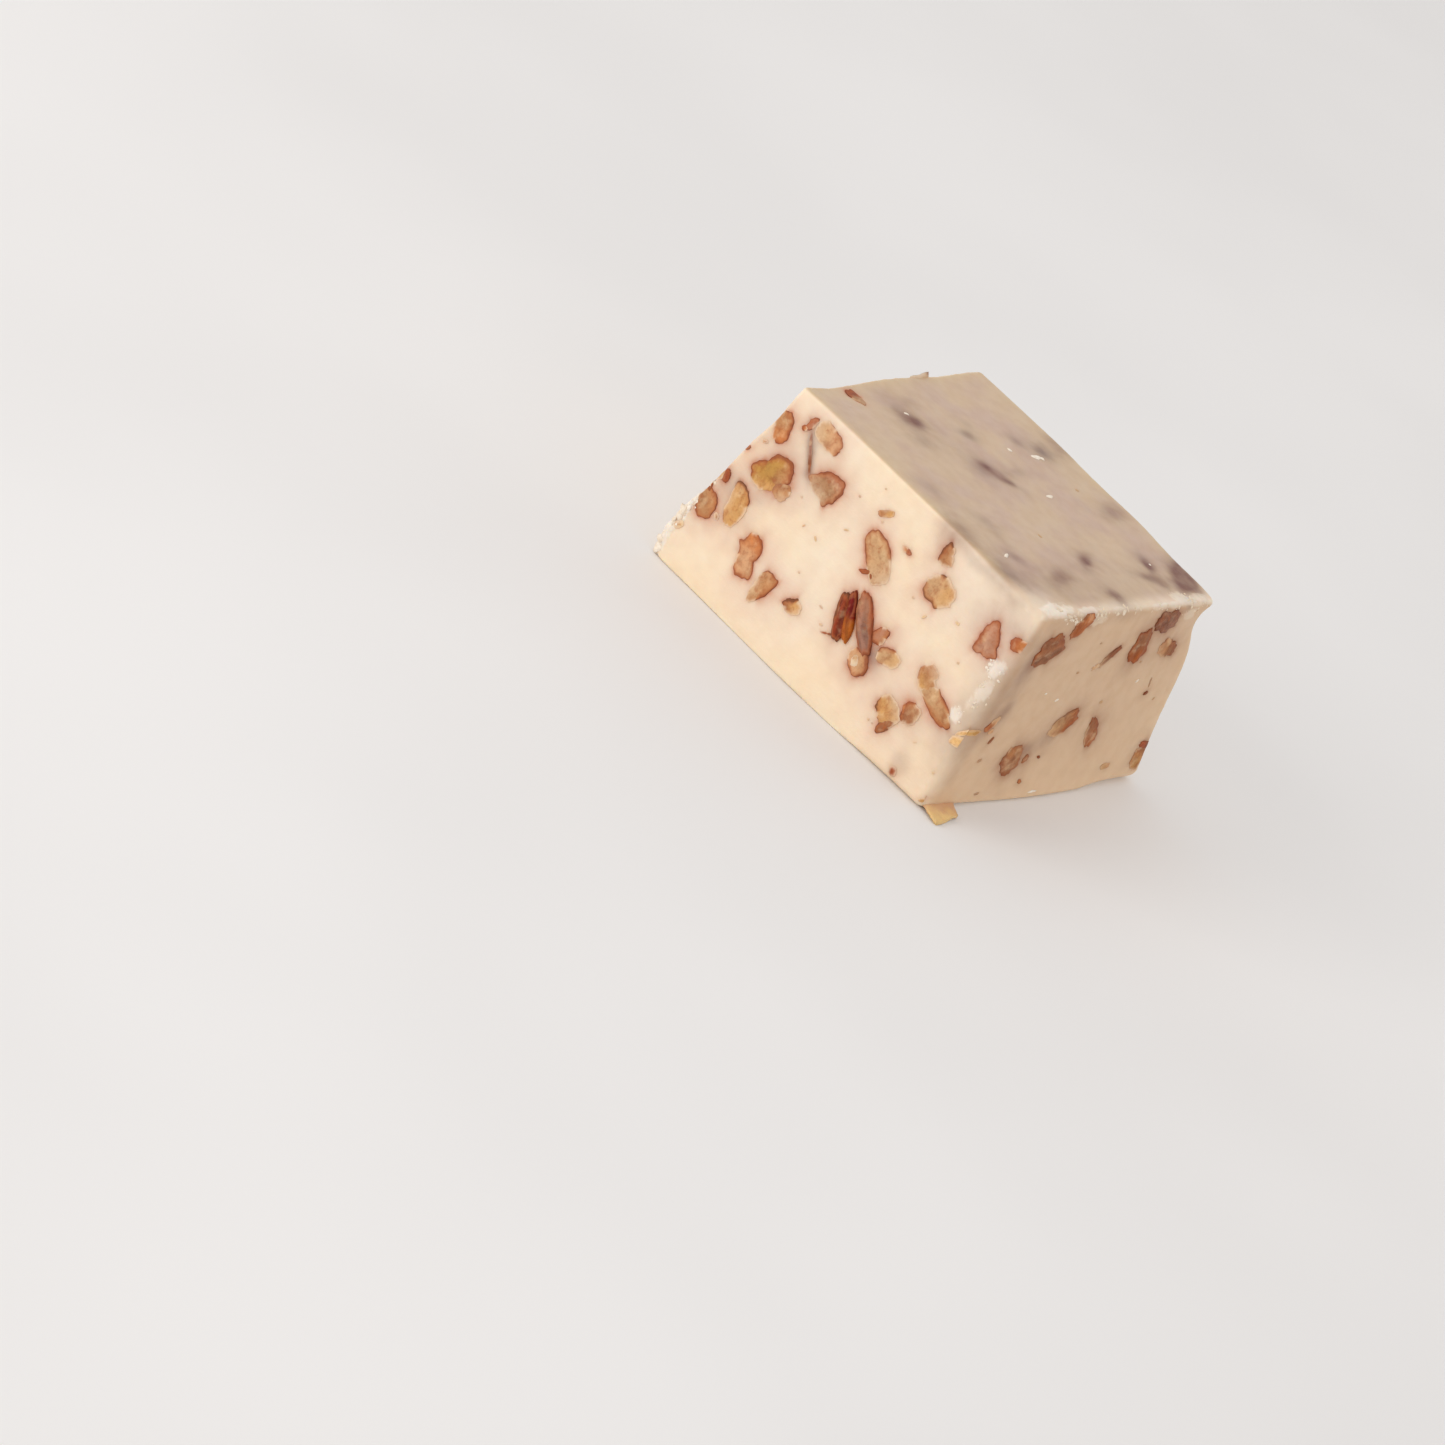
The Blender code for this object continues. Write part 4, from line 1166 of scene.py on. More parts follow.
@dataclass(frozen=True)
class FloorFinish:
    """A plain pale floor."""

    pale: tuple = (0.9, 0.885, 0.88)
    shade: tuple = (0.86, 0.845, 0.84)
    cells: float = 8
    roughness: float = 0.9

    def build(self) -> Material:
        """Make the material.

        Returns:
            The material.
        """
        bench = NodeBench("pale_floor")
        colour = bench.mix(bench.noise(self.cells, 2.0).ramp(0.3, 0.7), self.pale, self.shade)
        return bench.finish(Base_Color=colour, Roughness=self.roughness)


def object_from(name: str, mesh: BMesh, material: Material) -> Object:
    """Link a bmesh as a smooth-shaded object at the origin.

    Args:
        name: the object's name.
        mesh: the bmesh, freed afterwards.
        material: its material.

    Returns:
        The object.
    """
    data = bpy.data.meshes.new(name)
    mesh.to_mesh(data)
    mesh.free()
    data.polygons.foreach_set("use_smooth", [True] * len(data.polygons))
    data.materials.append(material)
    obj = bpy.data.objects.new(name, data)
    bpy.context.scene.collection.objects.link(obj)
    return obj


def paint(obj: Object, name: str, colours: Array) -> None:
    """Store one colour for each vertex.

    Args:
        obj: the object.
        name: the attribute's name.
        colours: n by 3 values.
    """
    attribute = obj.data.color_attributes.new(name, "FLOAT_COLOR", "POINT")
    rows = np.ones((len(colours), 4), np.float32)
    rows[:, :3] = colours
    attribute.data.foreach_set("color", rows.ravel())


class Torn(NamedTuple):
    """A torn patch of a face: its middle, how far it reaches each way, and how strongly it crumbled."""

    face: Face
    u: float
    v: float
    reach_u: float
    reach_v: float
    strength: float


def crumbly(points: Array) -> Array:
    """Slow noise, higher where the edges crumble and crumbs gather."""
    return NOISE.rough(points + 70, 0.16)


@dataclass
class FudgeBlock:
    """The block: its waxy cut faces, crumbling edges, and the stains of the nuts.

    Attributes:
        nuts: the nuts whose stains it takes.
        cuts: how many times the cube is cut along X, Y and Z.
        tighten: how much closer together the cuts lie near the edges.
        grain, ridge, lump: heights of the fine grain, and of the ridges and lumps where it crumbled.
        worn, dimple, sunk: how far crumbling wears it down, dimples go in, and it sinks at a nut.
        patchy: how much even the least crumbly stretch of an edge crumbles.
        edge_reach: how far crumbling reaches from a sound edge, and how much further from a broken one.
        stain_reach, stain_depth: how far from a nut its stain is looked for, on the face and across it.
        nut_edge: how far the fudge at a nut's rim is smooth and sunk.
        torn: the torn patches.
    """

    nuts: tuple[Nut, ...]
    cuts: tuple[int, int, int] = (150, 134, 92)
    tighten: float = 0.25
    grain: float = 0.03
    ridge: float = 0.3
    lump: float = 0.32
    worn: float = 0.12
    dimple: float = 0.06
    sunk: float = 0.05
    patchy: float = 0.35
    edge_reach: tuple[float, float] = (0.3, 1.1)
    stain_reach: float = 7
    stain_depth: float = 4
    nut_edge: float = 0.35
    torn: tuple[Torn, ...] = (
        Torn(F, -30.4, 5.5, 1.1, 7.0, 1.0),
        Torn(F, 26.2, 24.2, 1.5, 1.5, 0.8),
        Torn(F, 26.9, 20.4, 1.0, 2.6, 0.36),
        Torn(F, 26.2, 17.8, 0.7, 1.2, 0.3),
        Torn(F, 25.4, 15.0, 1.1, 1.2, 0.7),
        Torn(T, 26.8, -21.0, 1.6, 3.6, 0.8),
        Torn(T, 27.6, -13.0, 0.8, 4.0, 0.5),
        Torn(T, 26.6, 15.0, 1.6, 2.2, 0.6),
        Torn(T, 27.0, 20.0, 1.2, 3.0, 0.5),
        Torn(E, -12.0, 33.6, 4.5, 0.9, 0.8),
        Torn(E, 18.5, 32.2, 3.0, 1.0, 0.6),
    )

    def cube_mesh(self) -> tuple[BMesh, Array]:
        """A finely divided cube, its grid closer together near the edges.

        Returns:
            The bmesh and its points from -1 to 1.
        """
        mesh = bmesh.new()
        bmesh.ops.create_cube(mesh, size=2.0)
        for axis, cuts in enumerate(self.cuts):
            lines = [e for e in mesh.edges if abs(e.verts[0].co[axis] - e.verts[1].co[axis]) > 1.5]
            bmesh.ops.subdivide_edges(mesh, edges=lines, cuts=cuts, use_grid_fill=True)
        cube = points_of(mesh.verts)
        return mesh, np.clip((1 + self.tighten) * cube - self.tighten * cube**3, -1, 1)

    def crumbling(self, cube: Array, points: Array) -> Array:
        """How far each point has crumbled, from 0 to about 1.

        Args:
            cube: the points of the cube.
            points: the surface points.

        Returns:
            The shares.
        """
        total = np.zeros(len(cube))
        patchy = self.patchy + (1 - self.patchy) * ramp(crumbly(points), -0.2, 0.3)
        sound, broken = self.edge_reach
        for edge in FORM.edges:
            near = np.zeros(len(cube))
            for axis, sign in enumerate(edge.signs):
                if sign:
                    near = np.maximum(near, FORM.half[axis] * (1 - sign * cube[:, axis]))
            reach = sound + broken * edge.crumble
            wander = 0.5 * reach * NOISE.rough(points + 40, 0.4)
            total = np.maximum(total, edge.crumble * patchy * ramp(reach + wander - near, 0, 0.8))
        ragged = 0.5 * NOISE.rough(points, 0.55) + 0.45 * FINE_NOISE.rough(points, 0.8)
        for face, u, v, reach_u, reach_v, strength in self.torn:
            axis, sign, u_axis, v_axis = face.value
            away = np.hypot((points[:, u_axis] - u) / reach_u, (points[:, v_axis] - v) / reach_v)
            on_it = ramp(sign * cube[:, axis], 0.95, 1.0)
            total = np.maximum(total, on_it * strength * ramp(1.15 + ragged - away, 0, 0.4))
        return total

    def relief(self, points: Array, crumble: Array, near: Array) -> Array:
        """How far the fine grain and the crumbling lift each point, in millimetres.

        Args:
            points: the surface points.
            crumble: how far each has crumbled.
            near: how near each is to a nut; there the fudge is smooth and a little sunk.

        Returns:
            The lifts.
        """
        lift = self.grain * FINE_NOISE.rough(points, 0.9)
        ridged = 1 - 2 * np.abs(NOISE.rough(points + 5, 0.75))
        lift += crumble * (self.ridge * ridged + self.lump * FINE_NOISE.rough(points, 0.9, 2) - self.worn)
        dimpled = ramp(-FINE_NOISE.at(points, 0.55), 0.62, 0.8)
        return (lift - self.dimple * dimpled) * (1 - near) - self.sunk * near

    def around(self, face: Face, u: float, v: float, points: Array) -> tuple[Array, ...]:
        """Where the points lie seen from a spot on a face.

        Args:
            face: the face.
            u, v: the spot.
            points: the points.

        Returns:
            How far along u, along v and out of the face each lies.
        """
        middle = FORM.spot(face, u, v)
        return tuple((points - middle) @ way for way in FORM.tangents(face, u, v))

    def bleeding(self, points: Array) -> tuple[Array, Array, Array]:
        """The stains round the nuts.

        Args:
            points: the surface points.

        Returns:
            n by 2 shares of tight bleeding and wide haze, then how far skin has bled and how near a nut is.
        """
        clean = np.ones((len(points), 2))
        skinned, near = np.zeros(len(points)), np.zeros(len(points))
        for nut in self.nuts:
            u, v, out = self.around(nut.face, nut.u, nut.v, points)
            beside = np.maximum(np.abs(u), np.abs(v)) < nut.length / 2 + self.stain_reach
            close = np.flatnonzero(beside & (np.abs(out) < self.stain_depth))
            far, turn = nut.distance(u[close], v[close])
            far = np.maximum(far, 0) + 0.6 * np.abs(out[close])
            near[close] = np.maximum(near[close], np.exp(-((far / self.nut_edge) ** 2)))
            far *= 1 + 0.3 * NOISE.at(points[close], 0.6)
            skin = np.zeros(len(close))
            for arc in nut.skin:
                skin = np.maximum(skin, arc.cover(turn) * arc.strength)
            size = min(1.0, nut.width / 2.4)
            bleed = np.exp(-((far / (0.36 + 0.3 * skin)) ** 1.2)) * (0.55 + 0.35 * skin) * nut.halo
            haze = np.exp(-((far / (0.6 + 1.4 * size)) ** 1.3)) * (0.35 + 0.5 * skin) * size * nut.halo
            clean[close, 0] *= 1 - np.clip(bleed, 0, 1)
            clean[close, 1] *= 1 - np.clip(haze, 0, 1)
            skinned[close] = np.maximum(skinned[close], skin * np.exp(-far / 0.8))
        return 1 - clean, skinned, near

    def buried(self, points: Array) -> tuple[Array, Array]:
        """The nuts just under the surface, and a few spots of painted shade.

        Args:
            points: the surface points.

        Returns:
            How dark the spots are at each, and how red they are there.
        """
        clear = np.ones(len(points))
        red = np.zeros(len(points))
        weight = np.full(len(points), 1e-4)
        for face, spots in SUNKEN_NUTS_AND_SHADE:
            for spot in (DarkSpot(face, *row) for row in spots):
                u, v, out = self.around(face, spot.u, spot.v, points)
                x, y = along_axes(u, v, spot.angle)
                reach = np.hypot(x / (spot.length / 2), y / (spot.width / 2))
                reach = reach * (1 + 0.45 * NOISE.rough(points + 9, 0.35))
                dark = 0.9 * np.exp(-(reach**2.2) * 0.75) + 0.32 * np.exp(-((reach / spot.haze) ** 2))
                dark *= spot.strength * ramp(-np.abs(out), -3.2, -0.8)
                clear *= 1 - np.clip(dark, 0, 0.97)
                red += dark * (spot.red + 0.25)
                weight += dark
        return 1 - clear, red / weight

    def build(self, material: Material) -> Object:
        """Make the block's object.

        Args:
            material: the fudge.

        Returns:
            The object.
        """
        mesh, cube = self.cube_mesh()
        points, out = FORM.surface(cube)
        crumble = self.crumbling(cube, points)
        stain, skinned, near = self.bleeding(points)
        dark_spots, red = self.buried(points)
        lift = self.relief(points, crumble, near)
        off_base = 1 - ramp(-out[:, 2], 0.5, 0.95)
        move_to(mesh.verts, points + out * (lift * off_base)[:, None])
        face_outwards(mesh)
        block = object_from("fudge_block", mesh, material)
        end_inset = FORM.half[0] * (1 - cube[:, 0])
        corner_x, corner_y, _ = FORM.corners()[1, -1, 1]
        corner = np.hypot(points[:, 0] - corner_x, points[:, 1] - corner_y)
        top = ramp(out[:, 2], 0.45, 0.95) * ramp(end_inset, 0.2, 3.5) * ramp(corner, 3, 11)
        # The end face, whose colours are painted darker as painted shade.
        end = ramp(out[:, 0], 0.4, 1.0) * ramp(points[:, 1], -29.5, -25.0)
        # Whiter where crumbled, but only on the raised parts: dry crumbs, with the hollows between them
        # left darker as painted shade.
        white = ramp(crumble, 0.1, 0.5) * ramp(lift, -0.3, 0.1)
        # The glow: painted warm light bounced up from the floor near the bottom, the end face painted
        # lighter towards its back edge, and a painted highlight along the top's borders.
        low = np.exp(-np.maximum(points[:, 2], 0) / 5.5)
        rim = np.exp(-np.maximum(29 - points[:, 1], 0) / 3.5) * end
        border = np.array(FORM.half[:2]) * (1 - np.abs(cube[:, :2]))
        glow = np.clip(0.4 * low + 0.5 * rim + 0.7 * top * np.exp(-border.min(axis=1) / 2.2), 0, 0.8)
        paint(block, "stain", np.column_stack((stain, dark_spots)))
        paint(block, "crust", np.column_stack((white, top, end)))
        paint(block, "tint", np.column_stack((glow, red, skinned)))
        return block


@dataclass(frozen=True)
class NutFaceLook:
    """How the nuts of one face look beside the front's: tinted, mottled, smeared with its fudge."""

    tint: tuple = (0.97, 0.91, 0.83)
    mottle: float = 0.14
    cream: tuple = FudgeFinish.cream
    rim: float = 0.92


NUT_FACE_LOOKS = {
    # The end face's nuts, tinted darker and browner: painted shade.
    Face.END: NutFaceLook((0.76, 0.63, 0.47), 0.36, FudgeFinish.cut_end, 0.5),
    Face.TOP: NutFaceLook((0.87, 0.83, 0.78), cream=FudgeFinish.skin),
}


@dataclass
class PecanPieces:
    """Pecan pieces that share a material, joined into one object.

    Attributes:
        name: the object's name.
        nuts: the lobes.
        details: segments and rings of a lobe, by the length below which it takes them.
        flat: how flat a lobe's top is; 2 is a ball.
        marks: what the material reads, gathered lobe by lobe.
    """

    name: str
    nuts: tuple[Nut, ...]
    details: tuple[tuple[float, int, int], ...] = ((1.0, 12, 6), (2.6, 32, 14), (math.inf, 84, 28))
    flat: float = 4.0
    marks: dict[str, list[Array]] = field(default_factory=dict)

    def shape(self, nut: Nut, ball: Array) -> dict[str, Array]:
        """A unit ball's points as places in the lobe.

        Args:
            nut: the lobe.
            ball: the points.

        Returns:
            The surface points below each, and its share of the way out and up, by name.
        """
        ring, rise = np.hypot(ball[:, 0], ball[:, 1]), ball[:, 2]
        ring = np.where(ring < 1e-6, 0, ring)
        size = squared_reach(ring, rise, self.flat)
        ring, rise = ring * size, rise * size
        rim_u, rim_v = nut.outline(np.arctan2(ball[:, 1], ball[:, 0]))
        taper = np.where(rise < 0, 1 - 0.35 * rise**2, 1)
        du, dv = rim_u * ring * taper, rim_v * ring * taper
        return {
            "points": FORM.on_face(nut.face, nut.u + du, nut.v + dv),
            "du": du, "dv": dv, "ring": ring, "rise": rise,
            "turn": np.degrees(np.arctan2(rim_v, rim_u)) % 360,
            "inward": np.hypot(rim_u, rim_v) * (1 - ring),
        }

    def ribs(self, nut: Nut, at: dict[str, Array], count: int) -> tuple[Array, Array]:
        """The long ribs of a nut that stands proud.

        Args:
            nut: the lobe.
            at: what shape gives for it.
            count: its place in the list.

        Returns:
            How high they are at each point, and how pale.
        """
        along, across = along_axes(at["du"], at["dv"], nut.angle)
        along, across = along / (nut.length / 2), across / (nut.width / 2)
        bent = across * 5.6 + 1.2 * np.sin(along * 2.3 + count) + 1.6 * NOISE.at(at["points"], 0.35)
        groove = np.cos(bent)
        height = 0.16 * groove + 0.14 * FINE_NOISE.rough(at["points"], 1.1) + 0.3 * (1 - across**2)
        return nut.ridges * height, ramp(groove + 0.5 * FINE_NOISE.rough(at["points"], 0.8), -0.6, 0.9)

    def coat(self, nut: Nut, count: int, at: dict[str, Array]) -> dict[str, Array]:
        """What the material reads on a lobe.

        Args:
            nut: the lobe.
            count: its place in the list.
            at: what shape gives for it, with its veil, its grain and how pale it is.

        Returns:
            n by 3 values for each attribute.
        """
        points, ring, turn, veil = (at[name] for name in ("points", "ring", "turn", "veil"))
        face_look = NUT_FACE_LOOKS.get(nut.face, NutFaceLook())
        width, strength = np.zeros(len(ring)), np.zeros(len(ring))
        uneven = 0.45 + 0.95 * ramp(NOISE.rough(points + 11 * count, 0.7), -0.45, 0.45)
        for arc in nut.skin:
            cover = arc.cover(turn)
            width = np.maximum(width, cover * arc.width * uneven)
            strength = np.maximum(strength, ramp(cover, 0, 0.3) * arc.strength * (1 - veil))
        side = 0.5 + 0.5 * ring * np.cos(np.radians(turn - nut.blush_way))
        blush = ramp(side + 0.22 * NOISE.rough(points + 7 * count, 0.5), 0.35, 0.85)[:, None]
        meat = blend(np.array(nut.meat.value), np.array(nut.blush.value), blush)
        patchy = face_look.mottle * NOISE.rough(points + 2 * count, 0.6)
        meat = meat * (1 + 0.08 * at["grain"] + patchy)[:, None]
        # Ribbed lobes are darker in their grooves: dark streaks of their own, and painted shade in the
        # grooves.
        meat *= (1 - nut.ridges * 0.5 * (1 - at["pale"]))[:, None]
        tone = np.array(nut.skin_tone.value) * (0.75 + 0.25 * NOISE.rough(points + 4 * count, 0.6))[:, None]
        reach = -0.6 - 0.5 * NOISE.rough(points + 5 * count, 0.8)
        bare = (1 - strength) * ramp((-at["inward"] - reach) / -reach, 0.0, 1.0) * 0.7 * (nut.ridges == 0)
        hidden = np.maximum(veil, bare)[:, None]
        cream = 0.7 * np.array(face_look.cream) + 0.3 * np.array(FudgeFinish.bleed)
        # On the end face this tint is painted shade.
        meat = blend(meat * np.array(face_look.tint), cream, hidden)
        return {
            "meat": np.clip(meat, 0, 1),
            "rind": tone * np.array(face_look.tint),
            "look": np.column_stack((1 - hidden[:, 0], np.full(len(ring), nut.gloss), at["pale"])),
            "rim": np.column_stack((np.minimum(at["inward"] / 2, 1), width / 2, strength * face_look.rim)),
        }

    def lobe(self, nut: Nut, count: int) -> BMesh:
        """One lobe; its marks are added to the others'.

        Args:
            nut: the lobe.
            count: its place in the list, which seeds its grain.

        Returns:
            The bmesh.
        """
        mesh = bmesh.new()
        segments, rings = next(row[1:] for row in self.details if nut.length < row[0])
        bmesh.ops.create_uvsphere(mesh, u_segments=segments, v_segments=rings, radius=1.0)
        at = self.shape(nut, points_of(mesh.verts))
        points, ring, rise = at["points"], at["ring"], at["rise"]
        veil = nut.veil * ramp(ring * np.cos(np.radians(at["turn"] - nut.veil_way)), 0.0, 1.0)
        at["veil"] = np.clip(2.6 * veil * (1 + 0.5 * NOISE.rough(points + count, 0.7)), 0, 1)
        at["grain"] = FINE_NOISE.rough(points + 3.1 * count, 0.9)
        at["pale"] = np.ones(len(ring))
        crown = nut.proud * (0.8 + 0.2 * (1 - ring**2)) + 0.05 * at["grain"] * (1 - ring**4)
        if nut.ridges:
            rib, at["pale"] = self.ribs(nut, at, count)
            crown += rib
        crown -= (nut.proud + 0.1) * ramp(at["veil"], 0.75, 1.0)
        height = np.where(rise > 0, crown * np.minimum(rise, 1), rise * nut.depth)
        out = FORM.tangents(nut.face, nut.u, nut.v)[2]
        move_to(mesh.verts, points + out * height[:, None])
        for name, values in self.coat(nut, count, at).items():
            self.marks.setdefault(name, []).append(values)
        return mesh

    def build(self, material: Material) -> Object:
        """Join the lobes into one object.

        Args:
            material: the pecan.

        Returns:
            The object.
        """
        whole = bmesh.new()
        for count, nut in enumerate(self.nuts):
            mesh = self.lobe(nut, count)
            face_outwards(mesh)
            data = bpy.data.meshes.new("lobe")
            mesh.to_mesh(data)
            mesh.free()
            whole.from_mesh(data)
            bpy.data.meshes.remove(data)
        obj = object_from(self.name, whole, material)
        for name, values in self.marks.items():
            paint(obj, name, np.vstack(values))
        return obj


@dataclass(frozen=True)
class PecanFlake:
    """A thin torn flake of pecan that sticks out past an edge.

    Attributes:
        name, node: the object's name, and the frame's node that it stands for.
        corners: its four corners, the first two at its root.
        thickness, cells: its thickness, and how many cells its sheet has each way.
        root, meat, tip: its colours at the root, past it and at the third corner.
        seed: picks how ragged it is.
    """

    name: str
    node: str
    corners: tuple[Triple, ...]
    thickness: float
    root: Tone
    meat: Tone
    tip: Tone
    seed: int
    cells: tuple[int, int] = (18, 12)

    def sheet(self) -> BMesh:
        """The bent and torn sheet, with its thickness.

        Returns:
            The bmesh.
        """
        mesh = bmesh.new()
        bmesh.ops.create_grid(mesh, x_segments=self.cells[0], y_segments=self.cells[1], size=1.0)
        flat = points_of(mesh.verts)[:, :2]
        a, b, c, d = (np.array(corner) for corner in self.corners)
        u, v = (flat.T[:, :, None] + 1) / 2
        points = a * (1 - u) * (1 - v) + b * u * (1 - v) + c * u * v + d * (1 - u) * v
        edge = np.abs(flat).max(axis=1)
        torn = 1 + 0.16 * ramp(edge, 0.4, 1) * (NOISE.rough(points + self.seed, 0.9) - 0.35)
        middle = (a + b + c + d) / 4
        points = middle + (points - middle) * torn[:, None]
        out = np.cross(b - a, d - a)
        out /= np.linalg.norm(out)
        bent = 0.3 * NOISE.rough(points + 2 * self.seed, 0.5) + 0.12 * FINE_NOISE.rough(points, 1.4)
        move_to(mesh.verts, points + out * bent[:, None])
        bmesh.ops.solidify(mesh, geom=mesh.faces[:], thickness=self.thickness * 0.6 * MM)
        face_outwards(mesh)
        return mesh

    def build(self, material: Material) -> Object:
        """Make the flake's object.

        Args:
            material: the pecan.

        Returns:
            The object.
        """
        obj = object_from(self.name, self.sheet(), material)
        a, b, c, d = (np.array(corner) for corner in self.corners)
        places = drawn(points_of(obj.data.vertices))
        outwards = (c + d - a - b) / 2
        along = (places - (a + b) / 2) @ outwards / (outwards @ outwards)
        share = ramp(along + 0.3 * NOISE.rough(places, 0.8), 0.3, 1.0)[:, None]
        meat = blend(np.array(self.root.value), np.array(self.meat.value), share)
        tip = ramp(-np.linalg.norm(places - c, axis=1), -1.0, -0.2)[:, None] * 0.8
        meat = blend(meat, np.array(self.tip.value), tip)
        blank = np.zeros((len(places), 3))
        for name, values in {"meat": meat, "rind": meat * 0.6, "look": blank, "rim": blank}.items():
            paint(obj, name, values)
        return obj


class CrumbRun(NamedTuple):
    """Crumbs along an edge: its signs, how many, the largest, their spread, how white, where it ends."""

    signs: tuple[int, int, int]
    count: int
    largest: float
    spread: float
    white: float
    end: float = 0.97


class CrumbPatch(NamedTuple):
    """Crumbs on a patch of a face: its middle, its reach each way, how many, the largest, how white."""

    face: Face
    u: float
    v: float
    reach_u: float
    reach_v: float
    count: int
    largest: float
    white: float


class WhiteFlake(NamedTuple):
    """A small white flake that lies on a face: its middle, its length and width, and how it is turned."""

    face: Face
    u: float
    v: float
    length: float
    width: float
    angle: float


@dataclass
class EdgeCrumbs:
    """Crumbs that cling to the broken edges and torn patches, and small white flakes on the top.

    Attributes:
        seed: picks where they lie.
        runs, patches, flakes: where they gather.
        squat: how long, wide and high a crumb is.
        large: the half length above which a crumb gets finer faces.
        lowest: how far above the floor they stay.
        rest: how deep a crumb sits, as a share of its size.
        flake_height: how far a white flake stands up.
        highest: the most that v may be on a patch.
    """

    seed: int = 5
    squat: Triple = (1.1, 1.1, 0.55)
    large: float = 0.42
    lowest: float = 0.02
    rest: float = 0.32
    flake_height: float = 0.14
    highest: float = 35
    runs: tuple[CrumbRun, ...] = (
        CrumbRun((1, 0, 1), 260, 0.34, 1.0, 0.3),
        CrumbRun((-1, -1, 0), 110, 0.3, 0.6, 0.4),
        CrumbRun((-1, -1, 0), 130, 0.66, 0.9, 0.9, -0.35),
        CrumbRun((0, -1, -1), 40, 0.16, 0.4, 0.5),
        CrumbRun((1, 0, -1), 50, 0.2, 0.8, 0.3),
        CrumbRun((-1, 0, 1), 70, 0.22, 0.7, 0.4),
        CrumbRun((-1, 1, 0), 60, 0.24, 0.7, 0.4),
        CrumbRun((0, 1, 1), 36, 0.18, 0.5, 0.4),
        CrumbRun((1, 1, 0), 30, 0.18, 0.8, 0.2),
    )
    patches: tuple[CrumbPatch, ...] = (
        CrumbPatch(F, 26.0, 24.2, 1.2, 1.1, 34, 0.3, 0.9),
        CrumbPatch(F, 26.8, 19.6, 1.0, 3.0, 26, 0.26, 0.6),
        CrumbPatch(F, 25.4, 15.2, 0.9, 1.2, 28, 0.27, 0.9),
        CrumbPatch(F, -30.4, 5.5, 0.4, 5.0, 60, 0.38, 0.9),
        CrumbPatch(F, -30.6, 1.4, 0.6, 0.9, 16, 0.55, 1.0),
        CrumbPatch(T, 26.6, -21.0, 1.2, 2.6, 24, 0.26, 0.5),
        CrumbPatch(T, 26.6, 15.5, 1.0, 3.0, 22, 0.26, 0.4),
        CrumbPatch(E, -19.0, 34.3, 2.8, 0.6, 34, 0.32, 0.6),
        CrumbPatch(E, -11.0, 34.2, 2.0, 0.5, 20, 0.28, 0.4),
        CrumbPatch(E, 18.5, 32.6, 2.4, 0.8, 26, 0.3, 0.4),
        CrumbPatch(E, -2.6, 24.0, 0.7, 0.5, 8, 0.2, 0.6),
    )
    flakes: tuple[WhiteFlake, ...] = (
        WhiteFlake(T, -17.8, -7.5, 0.9, 0.4, 60),
        WhiteFlake(T, -6.4, 15.3, 2.2, 1.0, 80),
        WhiteFlake(T, -6.0, 16.5, 0.9, 0.6, 10),
        WhiteFlake(T, 2.5, 7.8, 1.8, 0.9, 100),
        WhiteFlake(T, -8.3, 9.9, 1.0, 0.5, 30),
        WhiteFlake(T, 14.8, -20.6, 1.6, 0.6, 110),
        WhiteFlake(T, 19.0, 15.9, 0.6, 0.4, 0),
        WhiteFlake(E, -8.6, 18.8, 1.0, 0.5, 20),
        WhiteFlake(E, 12.5, 20.6, 0.8, 0.4, 50),
        WhiteFlake(E, -13.0, 20.4, 0.7, 0.4, 0),
        WhiteFlake(E, -1.2, 1.6, 2.0, 0.5, 4),
    )

    def lump(self, whole: BMesh, place: Array, turn: Matrix, size: Array) -> int:
        """Add one lumpy crumb.

        Args:
            whole: the bmesh that it joins.
            place: its middle, in millimetres.
            turn: how it is turned.
            size: its three half lengths.

        Returns:
            How many vertices it has.
        """
        fine = 2 if max(size) > self.large else 1
        made = bmesh.ops.create_icosphere(whole, subdivisions=fine, radius=1.0)["verts"]
        balls = points_of(made)
        bumps = 1 + 0.45 * FINE_NOISE.at(balls + place * 3, 1.5)
        turned = [turn @ Vector(ball * size * bump) for ball, bump in zip(balls, bumps)]
        move_to(made, place + np.array(turned), self.lowest)
        return len(made)

    def on_edges(self, chance: np.random.Generator) -> list[tuple[Array, ...]]:
        """Crumbs along the edges, thicker where the edge has crumbled.

        Args:
            chance: the random draws.

        Returns:
            For each run, the crumbs' places, their ways out, their sizes and how white they are.
        """
        found = []
        for signs, count, largest, spread, white, end in self.runs:
            cube = np.array([signs] * count, float)
            free = signs.index(0)
            cube[:, free] = chance.uniform(-0.97, end, count)
            side = chance.choice([axis for axis in range(3) if axis != free], count)
            back = np.abs(chance.normal(0, spread * 0.5, count))
            for row, axis in enumerate(side):
                cube[row, axis] -= signs[axis] * back[row] / FORM.half[axis]
            points, out = FORM.surface(cube)
            size = largest * chance.uniform(0.3, 1.0, count) ** 2 + 0.05
            gathered = crumbly(points) + 0.5 * NOISE.at(points, 0.6)
            kept = gathered > chance.uniform(-0.5, 0.2, count)
            found.append((points[kept], out[kept], size[kept], np.full(kept.sum(), white)))
        return found

